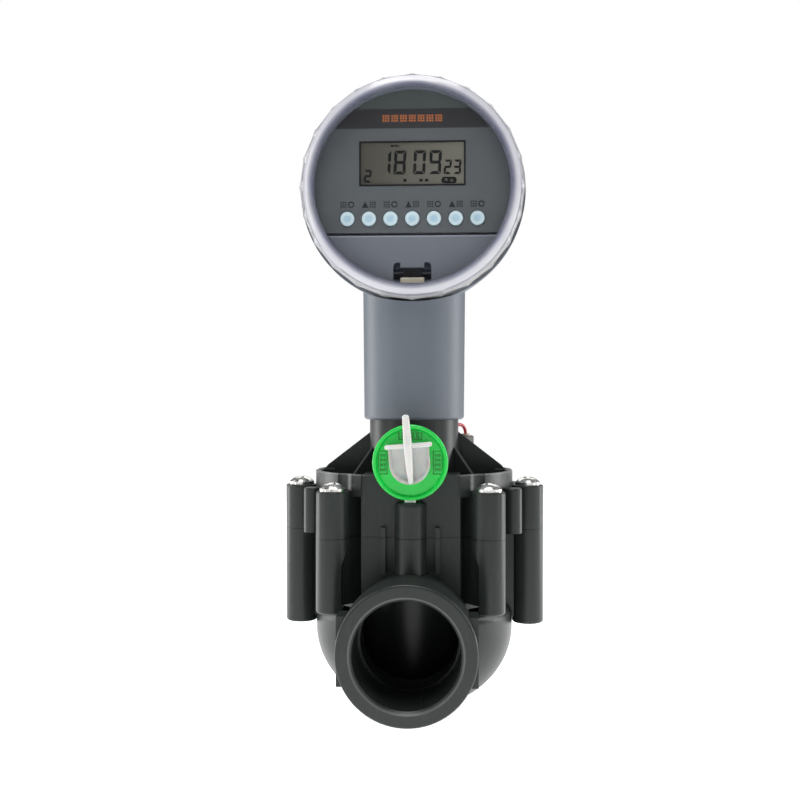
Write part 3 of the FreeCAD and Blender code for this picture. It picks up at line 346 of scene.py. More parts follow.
@finish
def clear_plastic():
    """Polished polycarbonate: a clear window; the whitish shoulder and skirt are painted reflection, with
    painted highlights at the grip facets and painted dark reflection streaks near the rim.
    """
    made = Finish("clear_plastic")
    x, y, z = made.axes()
    up = z - HEAD_Z
    radius = (x * x + up * up).math("SQRT")
    rim = radius.above(45.2 * MM, 1.6 * MM)
    # painted reflection: a whiter band across the shoulder
    bright = radius.between(46.8 * MM, 50.4 * MM, 1.6 * MM)
    # painted shadow: a dark ring where the recessed panel's edge shows through
    edge = radius.between(44.9 * MM, 45.6 * MM, 0.4 * MM)
    # painted highlights repeating round the grip facets
    angle = up.math("ARCTAN2", x)
    facet = (angle * 12.0).math("COSINE") * 0.5 + 0.5
    streak = made.noise(46.0, 3.0, stretch=(1.0, 0.2, 1.0))
    # painted sheen on the outer wall
    outer = radius.above(50.6 * MM, 0.5 * MM)
    # painted dark reflection streaks near the rim's outside
    line = radius.between(49.6 * MM, 50.3 * MM, 0.3 * MM) * streak.above(0.42, 0.1)
    # mix of the painted reflections and highlights on the shoulder
    reflection_sheen = (bright * 0.70 + streak * 0.50 - facet * 0.12).math("ADD", 0.0, clamp=True)
    tone = made.mix(reflection_sheen, (0.17, 0.18, 0.28, 1.0), (0.68, 0.68, 0.73, 1.0))
    tone = made.mix(outer * 0.7, tone, (0.66, 0.65, 0.62, 1.0))
    tone = made.mix(line * 0.75, tone, (0.22, 0.22, 0.24, 1.0))
    # painted shadow ring at the recessed panel's edge
    tone = made.mix(edge * 0.6, tone, (0.08, 0.08, 0.11, 1.0))
    alpha = 0.012 + rim * (0.52 + bright * 0.26 + facet * 0.06) + edge * 0.3
    made.set(Base_Color=tone, Alpha=alpha, Roughness=0.07 + streak * 0.08, IOR=1.49)
    return made.set(Coat_Weight=0.3, Coat_Roughness=0.03, Specular_IOR_Level=0.6)


@finish
def glossy_green():
    made = Finish("glossy_green")
    base = colours().dial
    cloud = made.noise(120.0, 3.0)
    grain = made.noise(2200.0, 2.0)
    tone = made.mix(cloud, rgb(base, 0.88), rgb(base, 1.12))
    made.set(Base_Color=tone, Roughness=0.22 + grain * 0.08)
    made.set(Subsurface_Weight=0.12, Subsurface_Scale=1.5 * MM)
    return made.set(Normal=made.bump(grain, 0.02 * MM, 0.35), Coat_Weight=0.25, Coat_Roughness=0.1)


@finish
def dial_bar_shade():
    """The dial's raised bars, painted a darker green as painted shade for the shading of the raised marks."""
    made = Finish("dial_bar_shade")
    base = colours().dial
    cloud = made.noise(300.0, 3.0)
    # painted shade: the bars are darker than the dial
    tone = made.mix(cloud, rgb(base, 0.24), rgb(base, 0.44))
    return made.set(Base_Color=tone, Roughness=0.4 + cloud * 0.1)


@finish
def milky_white():
    """Translucent natural nylon of the handle and the dial's key."""
    made = Finish("milky_white")
    cloud = made.noise(160.0, 3.0)
    grain = made.noise(2400.0, 2.0)
    tone = made.mix(cloud, (0.62, 0.64, 0.62, 1.0), (0.80, 0.81, 0.79, 1.0))
    made.set(Base_Color=tone, Roughness=0.24 + grain * 0.10)
    made.set(Subsurface_Weight=0.35, Subsurface_Scale=2.0 * MM)
    return made.set(Normal=made.bump(grain, 0.02 * MM, 0.3))


@finish
def cream_plastic():
    made = Finish("cream_plastic")
    cloud = made.noise(90.0, 3.0)
    tone = made.mix(cloud, (0.50, 0.46, 0.36, 1.0), (0.68, 0.63, 0.50, 1.0))
    return made.set(Base_Color=tone, Roughness=0.35 + cloud * 0.15)


@finish
def button_plastic():
    """Caps with a paler ring round a bluer centre."""
    made = Finish("button_plastic")
    base = colours().buttons
    cloud = made.noise(140.0, 2.0)
    grain = made.noise(2600.0, 2.0)
    tone = made.mix(cloud, rgb(base, 0.92), rgb(base, 1.08))
    x, y, z = made.axes()
    across = (((x * (1.0 / BUTTON_PITCH)) + 0.5).math("FRACT") - 0.5) * BUTTON_PITCH
    up = z - (HEAD_Z - BUTTON_DROP)
    radius = (across * across + up * up).math("SQRT")
    ring = radius.between(1.9 * MM, 2.9 * MM, 0.4 * MM)
    centre = 1.0 - radius.above(1.5 * MM, 0.4 * MM)
    tone = made.mix(ring * 0.5, tone, (0.62, 0.74, 0.80, 1.0))
    tone = made.mix(centre * 0.5, tone, (0.28, 0.50, 0.68, 1.0))
    made.set(Base_Color=tone, Roughness=0.30 + grain * 0.12)
    return made.set(Normal=made.bump(grain, 0.02 * MM, 0.3))


@finish
def bright_steel(name):
    """Plated steel with fine turning marks and a few darker spots; the latch's leaf is blackened."""
    made = Finish("bright_steel_" + name)
    shade = 0.06 if name == "blackened" else 1.0
    fine = made.noise(1500.0, 3.0, stretch=(1.0, 1.0, 8.0))
    spots = made.noise(420.0, 3.0)
    clean = rgb((0.72, 0.71, 0.69), shade)
    dull = rgb((0.45, 0.44, 0.42), shade)
    tone = made.mix(spots.between(0.6, 1.0, 0.1), clean, dull)
    made.set(Base_Color=tone, Metallic=1.0, Roughness=0.16 + fine * 0.16)
    return made.set(Normal=made.bump(fine, 0.01 * MM, 0.4))


@finish
def turned_brass():
    made = Finish("turned_brass")
    fine = made.noise(1200.0, 3.0, stretch=(1.0, 8.0, 1.0))
    tone = made.mix(fine, (0.55, 0.38, 0.12, 1.0), (0.72, 0.54, 0.22, 1.0))
    made.set(Base_Color=tone, Metallic=1.0, Roughness=0.22 + fine * 0.2)
    return made.set(Normal=made.bump(fine, 0.01 * MM, 0.4))


@finish
def soft_rubber():
    made = Finish("soft_rubber")
    bloom = made.noise(80.0, 4.0)
    grain = made.noise(1800.0, 2.0)
    tone = made.mix(bloom, (0.012, 0.012, 0.013, 1.0), (0.032, 0.032, 0.034, 1.0))
    made.set(Base_Color=tone, Roughness=0.62 + bloom * 0.2)
    return made.set(Normal=made.bump(grain, 0.03 * MM, 0.5))


@finish
def display_glass():
    """Liquid crystal: darker at the left, lighter and warmer at the right, with a faint cell texture."""
    made = Finish("display_glass")
    x = made.axes()[0]
    across = ((x - GLASS_LOW.x) / (GLASS_HIGH.x - GLASS_LOW.x)).math("ADD", 0.0, clamp=True)
    fleck = made.noise(3000.0, 2.0)
    cloud = made.noise(60.0, 2.0)
    tone = made.mix(across * 0.86 + cloud * 0.14, (0.034, 0.032, 0.022, 1.0), (0.150, 0.145, 0.118, 1.0))
    tone = made.mix(fleck * 0.14, tone, (0.22, 0.21, 0.17, 1.0))
    return made.set(Base_Color=tone, Roughness=0.30 + fleck * 0.06, Coat_Weight=0.15, Coat_Roughness=0.05)


@finish
def dark_ink():
    made = Finish("dark_ink")
    grain = made.noise(1500.0, 2.0)
    tone = made.mix(grain, (0.002, 0.002, 0.002, 1.0), (0.006, 0.006, 0.005, 1.0))
    return made.set(Base_Color=tone, Roughness=0.6 + grain * 0.1, Specular_IOR_Level=0.15)


@finish
def ghost_ink():
    """Unlit segments, a shade darker than the display."""
    made = Finish("ghost_ink")
    x = made.axes()[0]
    across = ((x - GLASS_LOW.x) / (GLASS_HIGH.x - GLASS_LOW.x)).math("ADD", 0.0, clamp=True)
    grain = made.noise(900.0, 2.0)
    tone = made.mix(across, (0.052, 0.049, 0.036, 1.0), (0.150, 0.142, 0.112, 1.0))
    return made.set(Base_Color=tone, Roughness=0.35 + grain * 0.1)


@finish
def orange_ink():
    made = Finish("orange_ink")
    base = colours().marks
    grain = made.noise(1300.0, 3.0)
    tone = made.mix(grain, rgb(base, 0.8), rgb(base, 1.15))
    return made.set(Base_Color=tone, Roughness=0.45 + grain * 0.1)


@finish
def label_ink():
    made = Finish("label_ink")
    grain = made.noise(1500.0, 2.0)
    tone = made.mix(grain, (0.008, 0.009, 0.011, 1.0), (0.016, 0.018, 0.021, 1.0))
    return made.set(Base_Color=tone, Roughness=0.6 + grain * 0.1, Specular_IOR_Level=0.2)


@finish
def solenoid_resin():
    made = Finish("solenoid_resin")
    cloud = made.noise(70.0, 4.0)
    grain = made.noise(1800.0, 2.0)
    tone = made.mix(cloud, (0.085, 0.080, 0.070, 1.0), (0.135, 0.125, 0.105, 1.0))
    made.set(Base_Color=tone, Roughness=0.45 + grain * 0.15)
    return made.set(Normal=made.bump(grain, 0.04 * MM, 0.5))


@finish
def copper_winding():
    """Varnished wire laid in turns."""
    made = Finish("copper_winding")
    z = made.axes()[2]
    turns = (z * (2 * pi / (0.35 * MM))).math("SINE") * 0.5 + 0.5
    tone = made.mix(turns, (0.20, 0.06, 0.02, 1.0), (0.62, 0.27, 0.10, 1.0))
    made.set(Base_Color=tone, Metallic=0.7, Roughness=0.25 + turns * 0.1)
    return made.set(Normal=made.bump(turns, 0.08 * MM, 0.8))


@finish
def board_laminate():
    """Green solder mask with paler tracks under it."""
    made = Finish("board_laminate")
    x, y, z = made.axes()
    weave = (x * (2 * pi / (1.2 * MM))).math("SINE") * (z * (2 * pi / (1.2 * MM))).math("SINE")
    track = made.cells(260.0).between(0.30, 0.42, 0.03)
    tone = made.mix(track, (0.010, 0.105, 0.040, 1.0), (0.030, 0.21, 0.080, 1.0))
    made.set(Base_Color=tone, Roughness=0.30 + weave * 0.05)
    return made.set(Normal=made.bump(track, 0.03 * MM, 0.6))


@finish
def insulation(name, shade):
    """Extruded PVC wire cover; shade is its colour's key in WIRE_COLOURS."""
    made = Finish("insulation_" + name)
    cloud = made.noise(300.0, 3.0)
    base = WIRE_COLOURS[shade]
    tone = made.mix(cloud, rgb(base, 0.85), rgb(base, 1.15))
    return made.set(Base_Color=tone, Roughness=0.28 + cloud * 0.12)


WIRE_COLOURS = {"red": (0.52, 0.02, 0.025), "black": (0.015, 0.015, 0.016)}


@finish
def battery_jacket():
    """Plain painted jacket with one lighter end band."""
    made = Finish("battery_jacket")
    x = made.axes()[0]
    band = x.above(10 * MM, 0.2 * MM)
    scratch = made.noise(200.0, 4.0, stretch=(0.2, 1.0, 1.0))
    tone = made.mix(band, (0.020, 0.025, 0.045, 1.0), (0.50, 0.40, 0.12, 1.0))
    tone = made.mix(scratch.between(0.68, 1.0, 0.05) * 0.4, tone, (0.5, 0.5, 0.5, 1.0))
    return made.set(Base_Color=tone, Metallic=0.5, Roughness=0.30 + scratch * 0.15)


@finish
def electronics():
    made = Finish("electronics")
    cloud = made.noise(500.0, 3.0)
    tone = made.mix(cloud, (0.012, 0.012, 0.013, 1.0), (0.040, 0.040, 0.042, 1.0))
    return made.set(Base_Color=tone, Roughness=0.45 + cloud * 0.2)


@finish
def pale_floor():
    """White sweep, lit from within so that it stays white to the horizon."""
    made = Finish("pale_floor")
    cloud = made.noise(3.0, 2.0)
    tone = made.mix(cloud, (0.93, 0.93, 0.93, 1.0), (0.96, 0.96, 0.96, 1.0))
    made.set(Base_Color=tone, Roughness=0.75 + cloud * 0.1, Emission_Strength=sizes().floor_glow)
    return made.set(Emission_Color=(1.0, 1.0, 1.0, 1.0), Specular_IOR_Level=0.0)


# ---- mesh work ----


def lathe(points, centre, steps=96):
    """Turn an outline of (radius, along Y) points about a Y axis through centre."""
    bm = bmesh.new()
    places = [Vector((r, along, 0)) for r, along in points]
    corners = [bm.verts.new(place) for place in places]
    edges = [bm.edges.new(pair) for pair in zip(corners, corners[1:])]
    bmesh.ops.spin(bm, geom=corners + edges, cent=(0, 0, 0), axis=(0, 1, 0), angle=2 * pi, steps=steps,
                   use_merge=True, use_duplicate=False)
    bmesh.ops.remove_doubles(bm, verts=bm.verts, dist=0.002 * MM)
    bmesh.ops.recalc_face_normals(bm, faces=bm.faces)
    bmesh.ops.translate(bm, vec=centre, verts=bm.verts)
    return bm


def outline_plate(points, back_y, front_y):
    """A flat outline of (x, z) points, extruded from back_y to front_y."""
    bm = bmesh.new()
    face = bm.faces.new([bm.verts.new((x, back_y, z)) for x, z in points])
    grown = bmesh.ops.extrude_face_region(bm, geom=[face])["geom"]
    moved = [item for item in grown if isinstance(item, bmesh.types.BMVert)]
    bmesh.ops.translate(bm, vec=(0, front_y - back_y, 0), verts=moved)
    bmesh.ops.recalc_face_normals(bm, faces=bm.faces)
    return bm


def side_plate(points, thickness):
    """An outline of (y, z) points, centred on x = 0."""
    bm = bmesh.new()
    face = bm.faces.new([bm.verts.new((-thickness / 2, y, z)) for y, z in points])
    grown = bmesh.ops.extrude_face_region(bm, geom=[face])["geom"]
    moved = [item for item in grown if isinstance(item, bmesh.types.BMVert)]
    bmesh.ops.translate(bm, vec=(thickness, 0, 0), verts=moved)
    bmesh.ops.recalc_face_normals(bm, faces=bm.faces)
    return bm


def arc(centre, radius, start, end, count):
    """Points along an arc, in degrees."""
    points = []
    for step in range(count + 1):
        angle = radians(start + (end - start) * step / count)
        points.append((centre[0] + radius * cos(angle), centre[1] + radius * sin(angle)))
    return points


def round_box(x, z, width, height, radius, steps=5):
    """Outline of a rectangle with round corners, about x, z."""
    points = []
    for turn, (side, up) in enumerate(((1, 1), (-1, 1), (-1, -1), (1, -1))):
        corner = (x + side * (width / 2 - radius), z + up * (height / 2 - radius))
        points += arc(corner, radius, 90 * turn, 90 * turn + 90, steps)
    return points


def soften(bm, angle=32):
    """Smooth shading, with the sharp edges kept."""
    bm.normal_update()
    for face in bm.faces:
        face.smooth = True
    for edge in bm.edges:
        edge.smooth = len(edge.link_faces) == 2 and edge.calc_face_angle(0) < radians(angle)


def bevel_sharp(bm, width, segments=2, angle=40):
    """Round the edges that turn by more than angle."""
    bm.normal_update()
    limit = radians(angle)
    edges = [edge for edge in bm.edges if len(edge.link_faces) == 2 and edge.calc_face_angle(0) > limit]
    bmesh.ops.bevel(bm, geom=edges, offset=width, offset_type="OFFSET", segments=segments, profile=0.5,
                    affect="EDGES", material=-1, clamp_overlap=True)


def merge(*meshes):
    """Put several bmeshes into one."""
    whole = meshes[0]
    for extra in meshes[1:]:
        data = bpy.data.meshes.new("merge")
        extra.to_mesh(data)
        extra.free()
        whole.from_mesh(data)
        bpy.data.meshes.remove(data)
    return whole


def piece(name, bm, body, material, replaces=(), smooth=32):
    """Finish a bmesh as a piece that rides on a body."""
    soften(bm, smooth)
    data = bpy.data.meshes.new(name)
    bm.to_mesh(data)
    bm.free()
    data.materials.append(material)
    made = bpy.data.objects.new(name, data)
    bpy.context.scene.collection.objects.link(made)
    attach(made, body)
    if replaces:
        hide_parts(*replaces)
    return made


def paint(node, material):
    """Give a CAD node its finish."""
    slots = NODES[node].material_slots
    for place in slots:
        place.material = material


# ---- operators ----


class TIMER_OT_finishes(bpy.types.Operator):
    """Give every carried-over CAD node its finish"""

    bl_idname = "timer.finishes"
    bl_label = "Finishes"

    def execute(self, context):
        by_slot = {
            "black_plastic": moulded_black, "grey_plastic": lambda: moulded_grey("housing"),
            "door_plastic": lambda: moulded_grey("door"), "panel_plastic": printed_panel,
            "latch_plastic": cream_plastic, "cream_plastic": cream_plastic, "clear_plastic": clear_plastic,
            "green_plastic": glossy_green, "white_plastic": milky_white, "button_plastic": button_plastic,
            "steel": lambda: bright_steel("plated"), "brass": turned_brass, "rubber": soft_rubber,
            "lcd": display_glass, "dark_trim": dark_ink, "solenoid_resin": solenoid_resin,
            "copper_coil": copper_winding, "board_green": board_laminate, "component_black": electronics,
            "red_insulation": lambda: insulation("red", "red"),
            "black_insulation": lambda: insulation("black", "black"), "battery_jacket": battery_jacket,
        }
        for node in NODES:
            paint(node, by_slot[SLOT_OF[node]]())
        paint("latch_leaf", bright_steel("blackened"))
        return {"FINISHED"}


GRIPS = 24


class TIMER_OT_cover(bpy.types.Operator):
    """Build the clear screw-on cover, with its rounded shoulder and grip facets"""

    bl_idname = "timer.cover"
    bl_label = "Clear cover"

    def execute(self, context):
        front = COVER_LOW.y
        back = COVER_HIGH.y
        wall = 2.2 * MM
        shoulder = 7.2 * MM
        flat_r = COVER_R - shoulder
        outer = [(0.0, front), (flat_r * 0.5, front), (flat_r - 0.4 * MM, front)]
        outer += [(flat_r + shoulder * sin(radians(a)), front + shoulder * 0.92 * (1 - cos(radians(a))))
                  for a in range(6, 91, 7)]
        outer += [(COVER_R, front + shoulder), (COVER_R, (front + shoulder + back) / 2),
                  (COVER_R, back - 0.4 * MM), (COVER_R - 0.4 * MM, back)]
        inner_r = COVER_R - 2.35 * MM
        inner = [(inner_r, back), (inner_r, front + shoulder)]
        inner += [(flat_r + (inner_r - flat_r) * sin(radians(a)),
                   front + wall + (shoulder - wall) * 0.92 * (1 - cos(radians(a))))
                  for a in range(84, 5, -13)]
        inner += [(flat_r - 0.4 * MM, front + wall), (0.0, front + wall)]
        bm = lathe(outer + inner, Vector((0, 0, HEAD_Z)), steps=GRIPS * 8)
        for vert in bm.verts:
            self.cut_facet(vert, front + 2.4 * MM)
        bmesh.ops.recalc_face_normals(bm, faces=bm.faces)
        piece("cover_shell", bm, "clear_cover", clear_plastic(), ["clear_cover"], smooth=24)
        self.neck_beads()
        return {"FINISHED"}

    def cut_facet(self, vert, start_y):
        """Pull the outer wall in between the grip ribs, so that each facet is a shallow hollow."""
        up = vert.co.z - HEAD_Z
        radius = (vert.co.x ** 2 + up ** 2) ** 0.5
        if vert.co.y < start_y or radius < COVER_R - 1.6 * MM:
            return
        angle = atan2(up, vert.co.x)
        phase = (angle / (2 * pi) * GRIPS) % 1.0
        depth = 0.62 * MM * (1 - abs(2 * phase - 1) ** 2.6)
        scale = (radius - depth) / radius
        vert.co.x *= scale
        vert.co.z = HEAD_Z + up * scale

    def neck_beads(self):
        """Two turns of the neck's thread, seen through the clear skirt."""
        radius = COVER_R - 2.62 * MM
        beads = []
        for along in (4.2, 7.2):
            y = COVER_HIGH.y - along * MM
            profile = [(radius - 0.8 * MM, y - 0.6 * MM), (radius, y - 0.15 * MM), (radius, y + 0.15 * MM),
                       (radius - 0.8 * MM, y + 0.6 * MM), (radius - 0.8 * MM, y - 0.6 * MM)]
            beads.append(lathe(profile, Vector((0, 0, HEAD_Z)), steps=96))
        piece("neck_thread", merge(*beads), "valve", moulded_grey("housing"))


SEGMENTS = {
    "0": "abcdef", "1": "bc", "2": "abged", "3": "abgcd", "8": "abcdefg", "9": "abcdfg",
}


def segment_outline(letter, width, height, stroke):
    """One bar of a seven-segment digit, about the digit's centre."""
    half_w = width / 2
    half_h = height / 2
    gap = stroke * 0.16
    across = (-half_w + gap, half_w - gap)
    if letter in "adg":
        z = {"a": half_h, "d": -half_h, "g": 0.0}[letter]
        if letter == "g":
            s = stroke / 2
            return [(across[0] + s, s), (across[1] - s, s), (across[1], 0), (across[1] - s, -s),
                    (across[0] + s, -s), (across[0], 0)]
        inward = -stroke if letter == "a" else stroke
        inner_z = z + inward
        return [(across[0], z), (across[1], z), (across[1] - stroke, inner_z), (across[0] + stroke, inner_z)]
    side = 1 if letter in "bc" else -1
    top = letter in "bf"
    x = side * half_w
    outer = half_h - gap if top else -half_h + gap
    inner = gap if top else -gap
    lean = -stroke if top else stroke
    return [(x, outer), (x - side * stroke, outer + lean), (x - side * stroke, inner - lean / 2),
            (x - side * stroke / 2, inner), (x, inner - lean / 2)]


def digit(text, x, z, width, height, stroke, back_y, front_y):
    """The lit bars of one character."""
    lean = sizes().digit_lean
    bars = []
    for letter in SEGMENTS[text]:
        points = []
        for along, up in segment_outline(letter, width, height, stroke):
            points.append((x + along + up * sin(lean), z + up))
        bars.append(outline_plate(points, back_y, front_y))
    return bars


class TIMER_OT_display(bpy.types.Operator):
    """Build the display's lit characters, its small marks and the badge"""

    bl_idname = "timer.display"
    bl_label = "Display"

    def execute(self, context):
        back = GLASS_LOW.y - 0.01 * MM
        front = GLASS_LOW.y - 0.06 * MM
        tall = sizes().digit_height
        lit = []
        for text, x in (("1", -12.7), ("8", -5.7), ("0", 3.35), ("9", 10.6)):
            lit += digit(text, LCD.x + x * MM, LCD.z + 0.55 * MM, 5.6 * MM, tall, 1.4 * MM, back, front)
        for text, x in (("2", 16.3), ("3", 20.7)):
            small_z = LCD.z - 1.7 * MM
            lit += digit(text, LCD.x + x * MM, small_z, 3.6 * MM, tall * 0.61, 1.05 * MM, back, front)
        lit += digit("2", LCD.x - 20.6 * MM, LCD.z - 5.6 * MM, 3.5 * MM, tall * 0.53, 1.0 * MM, back, front)
        for x, z, width, height in ((-9.2, 8.2, 1.5, 0.8), (-7.3, 8.2, 1.5, 0.8), (-5.9, 8.0, 0.7, 0.4),
                                    (-3.4, -7.7, 1.5, 1.3), (4.0, -7.7, 1.6, 1.2), (6.6, -7.7, 1.6, 1.2)):
            lit.append(self.mark(x, z, width, height, 0.2, back, front))
        lit.append(self.mark(16.9, -7.75, 7.0, 3.0, 1.2, back, front))
        piece("lit_segments", merge(*lit), "valve", dark_ink())
        pale = [self.mark(15.6, -7.75, 1.3, 0.35, 0.1, front, front - 0.03 * MM),
                self.mark(15.6, -7.2, 0.9, 0.3, 0.1, front, front - 0.03 * MM),
                self.mark(18.1, -7.75, 1.3, 0.35, 0.1, front, front - 0.03 * MM),
                self.mark(18.1, -8.3, 0.9, 0.3, 0.1, front, front - 0.03 * MM)]
        piece("badge_marks", merge(*pale), "valve", ghost_ink())
        return {"FINISHED"}

    def mark(self, x, z, width, height, radius, back, front):
        outline = round_box(LCD.x + x * MM, LCD.z + z * MM, width * MM, height * MM, radius * MM, 3)
        return outline_plate(outline, back, front)


class TIMER_OT_marks(bpy.types.Operator):
    """Print plain marks on the band and above the buttons"""

    bl_idname = "timer.marks"
    bl_label = "Printed marks"

    def execute(self, context):
        back = PANEL_Y - 0.005 * MM
        front = PANEL_Y - 0.04 * MM
        shapes = []
        for number in range(7):
            x = (number - 3) * 4.05 * MM
            z = HEAD_Z + 32.0 * MM
            shapes += self.band_icon(x, z, back, front)
        piece("band_marks", merge(*shapes), "valve", orange_ink())
        dark = []
        for number, node in enumerate(BUTTON_NODES):
            x = middle(node).x
            z = middle(node).z + 6.6 * MM
            dark += self.key_icon(x, z, number, back, front)
        piece("key_marks", merge(*dark), "valve", label_ink())
        return {"FINISHED"}

    def dots(self, x, z, pitch, back, front):
        """A square of nine dots."""
        shapes = []
        for along in (-pitch, 0.0, pitch):
            for up in (-pitch, 0.0, pitch):
                outline = round_box(x + along, z + up, pitch * 0.7, pitch * 0.7, pitch * 0.2, 2)
                shapes.append(outline_plate(outline, back, front))
        return shapes

    def band_icon(self, x, z, back, front):
        """A plain mark for the band: nine dots in a square."""
        return self.dots(x, z, 1.15 * MM, back, front)

    def key_icon(self, x, z, number, back, front):
        """Two plain marks over each button: dots and a ring, or a triangle and dots."""
        left = x - 1.75 * MM
        right = x + 1.75 * MM
        reach = 1.5 * MM
        if number % 2:
            tip = [(left, z + reach), (left - reach, z - reach), (left + reach, z - reach)]
            return [outline_plate(tip, back, front)] + self.dots(right, z, 1.05 * MM, back, front)
        ring = arc((right, z), reach, 0, 345, 16)
        ring += list(reversed(arc((right, z), reach * 0.6, 0, 345, 16)))
        return self.dots(left, z, 1.05 * MM, back, front) + [outline_plate(ring, back, front)]


class TIMER_OT_buttons(bpy.types.Operator):
    """Build the seven button caps, each with a dished top"""

    bl_idname = "timer.buttons"
    bl_label = "Buttons"

    def execute(self, context):
        for node in BUTTON_NODES:
            low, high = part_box(node)
            centre = (low + high) / 2
            cap_r = 3.35 * MM
            flange_r = (high.x - low.x) / 2
            front = low.y
            flange_y = high.y - 2.3 * MM
            round_r = 0.45 * MM
            outline = [(0.0, front + 0.5 * MM), (cap_r * 0.42, front + 0.44 * MM),
                       (cap_r * 0.62, front + 0.06 * MM), (cap_r * 0.74, front)]
            outline += [(cap_r - round_r + round_r * sin(radians(a)), front + round_r * (1 - cos(radians(a))))
                        for a in range(0, 91, 15)]
            outline += [(cap_r, flange_y), (flange_r, flange_y), (flange_r, flange_y + 0.8 * MM),
                        (1.5 * MM, flange_y + 0.8 * MM), (1.5 * MM, high.y - 0.2 * MM),
                        (1.3 * MM, high.y), (0.0, high.y)]
            bm = lathe(outline, Vector((centre.x, 0, centre.z)), steps=48)
            piece(node + "_cap", bm, BODY_OF[node], button_plastic(), [node])
        return {"FINISHED"}


LABEL_R = 12.1 * MM         # from the dial's centre to the middle of a label
HANDLE_LEAN = 4.5           # degrees from upright
FIN_REACH = 21.4 * MM       # from the dial's centre to the fin's tip


